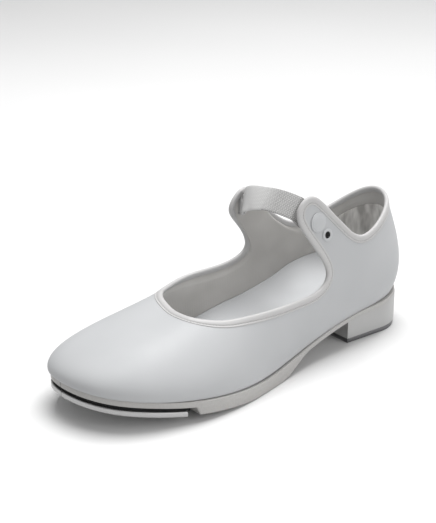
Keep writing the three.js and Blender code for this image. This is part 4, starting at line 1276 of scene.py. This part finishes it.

# %% Folded tail
def strap_tail():
    """The end of the elastic: out through the slot, folded, and back under the band."""
    outside = slot_at - slot_out * 0.1
    under = -strap_up if strap_up @ slot_side > 0 else strap_up
    below = unit(slot_side * np.sign(slot_side @ -strap_up))
    line = [outside]
    for s, drop in ((0.0, 1.25), (0.25, 1.25), (0.5, 1.3)):
        line.append(slot_at - slot_out * (LINING_INNER * s * 2 - 1.0) + below * drop)
    for k, drop in ((7, 1.3), (6, 1.4), (5, 1.7)):
        line.append(crossing[k] + under * drop)
    smoothed, _ = through(np.array(line), 60)
    across = np.repeat(slot_along[None], 60, 0)
    return band("strap_tail", smoothed, across, 11.8, 0.0)


tail = strap_tail()
dress(tail, elastic, SHOE, "elastic")

# %% [markdown]
# ## Snap and eyelet
# A press snap closes the strap: a painted cap outside, a socket inside the ear, and a stud with a
# post on the strap's end. Below it sits an eyelet. All of them are turned parts, so each is one
# profile carried round its axis, with its corners softened.

# %% Snap parts
post_end = -(LINING_INNER + GAP) - 0.3
cap_profile = rounded_profile([[0, 1.45], [3.2, 1.35], [4.9, 1.05], [5.3, 0.75], [5.55, 0.8],
                               [6.1, 0.6], [6.2, 0.05], [1.2, -0.1], [1.2, post_end],
                               [0, post_end]], 0.5, 6)
dress(turned("snap_cap_piece", cap_profile, snap_at, snap_out, 96), snap_paint, SHOE, "painted_snap",
      "snap_cap")
socket_top = -(LINING_INNER + 0.05)
socket_low = -(LINING_INNER + GAP) - 1.7
socket_profile = rounded_profile([[1.4, socket_top], [5.2, socket_top], [5.3, socket_low + 0.5],
                                  [4.6, socket_low], [3.1, socket_low], [2.8, socket_low + 1.1],
                                  [1.4, socket_low + 1.1], [1.4, socket_top]], 0.25, 5)
dress(turned("snap_socket_piece", socket_profile[:-1], snap_at, snap_out, 72), snap_steel, SHOE, "snap_steel",
      "snap_socket")
STUD_BASE = -7.0 + BAND_HALF + 0.05
stud_profile = rounded_profile([[1.5, STUD_BASE], [4.2, STUD_BASE], [4.2, STUD_BASE + 0.5],
                                [2.0, STUD_BASE + 0.7], [1.8, STUD_BASE + 1.2], [1.95, STUD_BASE + 1.7],
                                [1.5, STUD_BASE + 1.85], [1.5, STUD_BASE]], 0.2, 5)
dress(turned("snap_stud_piece", stud_profile[:-1], snap_at, snap_out, 64), snap_steel, STRAP_END,
      "snap_steel", "snap_stud")
DISC_TOP = -7.0 - BAND_HALF - 0.05
disc_profile = rounded_profile([[0, DISC_TOP - 0.85], [3.4, DISC_TOP - 0.8], [4.2, DISC_TOP - 0.4],
                                [4.2, DISC_TOP], [1.2, DISC_TOP], [1.2, STUD_BASE + 1.6],
                                [0, STUD_BASE + 1.6]], 0.25, 5)
dress(turned("snap_post_piece", disc_profile, snap_at, snap_out, 64), snap_steel, STRAP_END, "snap_steel",
      "snap_post")

# %% Eyelet parts
barrel_end = -(LINING_INNER + GAP + 0.5)
barrel_profile = rounded_profile([[2.0, barrel_end], [2.5, barrel_end], [2.5, 0.05], [4.0, 0.05], [4.05, 0.3],
                                  [3.2, 0.85], [2.3, 0.75], [2.0, 0.2], [2.0, barrel_end]], 0.3, 6)
ring = turned("eyelet_ring", barrel_profile[:-1], eyelet_at, eyelet_out, 72)
dress(ring, snap_paint, SHOE, "painted_snap", "eyelet_barrel")


def paint_shade_in_bore(piece, centre, axis, radius):
    """Gives the faces nearer the axis than a radius the piece's second finish: near-black painted shade that
    stands for the shadow down the eyelet's hole.
    """
    piece.data.materials.append(bore_painted_shade)
    middles = np.zeros(3 * len(piece.data.polygons))
    piece.data.polygons.foreach_get("center", middles)
    away = middles.reshape(-1, 3) / MM - centre
    off_axis = np.linalg.norm(away - (away @ axis)[:, None] * axis, axis=1)
    piece.data.polygons.foreach_set("material_index", (off_axis < radius).astype(np.int32))
    print("dark faces in the bore:", int((off_axis < radius).sum()))


# Faces within this reach of the eyelet's axis get the painted shade of the hole.
BORE_REACH = 2.12
paint_shade_in_bore(ring, eyelet_at, eyelet_out, BORE_REACH)
washer_profile = rounded_profile([[2.75, barrel_end], [4.0, barrel_end], [4.0, barrel_end + 0.4],
                                  [3.4, barrel_end + 0.55], [2.75, barrel_end + 0.5],
                                  [2.75, barrel_end]], 0.12, 4)
dress(turned("eyelet_back", washer_profile[:-1], eyelet_at, eyelet_out, 64), washer_brass, SHOE, "brass",
      "eyelet_washer")
for cutter in (hole_cutter, slot_cutter):
    bpy.data.objects.remove(cutter)

# %% [markdown]
# ## Pieces kept from the frame
# Two pieces lie sealed inside the bottom: the filler and the shank. Nothing of them shows, so they
# keep their frame meshes and only get a finish.

# %% Finish for the kept pieces
for node, material in (("bottom_filler", cork_filler), ("shank", screw_steel)):
    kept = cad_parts[node]
    kept.data.materials.clear()
    kept.data.materials.append(material)
print("kept from the frame: bottom_filler, shank")

# %% [markdown]
# ## Studio
# A product shot: a pale floor that fades into a white surround, one broad soft light above and to
# the left, and a weaker fill. The lens is long, so the shoe keeps its proportions.

# %% Floor
def studio_floor():
    """Flat pale sheet, far larger than the shoe."""
    size = 3000.0
    corners = np.array([[-size, -size, 0], [size, -size, 0], [size, size, 0], [-size, size, 0]])
    floor = build_mesh("floor", corners, np.array([[0, 1, 2, 3]]))
    material, tree, shader = new_finish("floor_paint", 0.6, specular=0.2)
    vector = coordinates(tree)
    tone = ramp(tree, noise(tree, vector, 3, 1.0), [(0.3, 0.65), (0.7, 0.67)])
    tree.links.new(tone, shader.inputs["Base Color"])
    floor.data.materials.append(material)


studio_floor()

# %% Light
def soft_light(name, place, aim, size, power, tint=(1, 1, 1)):
    """Square area light at a place in metres, turned towards a point."""
    data = bpy.data.lights.new(name, "AREA")
    data.shape = "SQUARE"
    data.size = size
    data.energy = power
    data.color = tint
    light = bpy.data.objects.new(name, data)
    light.location = place
    light.rotation_euler = (Vector(aim) - Vector(place)).to_track_quat("-Z", "Y").to_euler()
    bpy.context.scene.collection.objects.link(light)


middle = (0.0, -0.1, 0.04)
soft_light("top_light", (-0.14, 0.08, 1.35), middle, 0.9, 24)
soft_light("side_fill", (1.25, 0.2, 0.7), middle, 1.2, 8)
soft_light("back_rim", (-0.3, 1.2, 0.9), middle, 0.8, 3)
world = bpy.data.worlds.new("surround")
world.use_nodes = True
world.node_tree.nodes["Background"].inputs["Color"].default_value = (1, 1, 1, 1)
world.node_tree.nodes["Background"].inputs["Strength"].default_value = 0.47
bpy.context.scene.world = world
bpy.context.scene.view_settings.view_transform = "Standard"

# %% Camera
def aimed_camera(azimuth, elevation, distance, target, lens):
    """Camera on a sphere round its target: azimuth is measured round from the toe side."""
    az, el = np.radians([azimuth, elevation])
    back = np.array([np.sin(az) * np.cos(el), -np.cos(az) * np.cos(el), np.sin(el)])
    place = Vector((np.asarray(target) + back * distance) * MM)
    data = bpy.data.cameras.new("camera")
    data.sensor_width = 36
    data.lens = lens
    camera = bpy.data.objects.new("camera", data)
    camera.location = place
    camera.rotation_euler = (Vector(np.asarray(target) * MM) - place).to_track_quat("-Z", "Y").to_euler()
    bpy.context.scene.collection.objects.link(camera)
    bpy.context.scene.camera = camera
    print("camera at", np.round(place, 3), "lens", lens)


aimed_camera(50.616, 21.791, 910.92, (-94.797, -32.122, 20.922), 91.69)
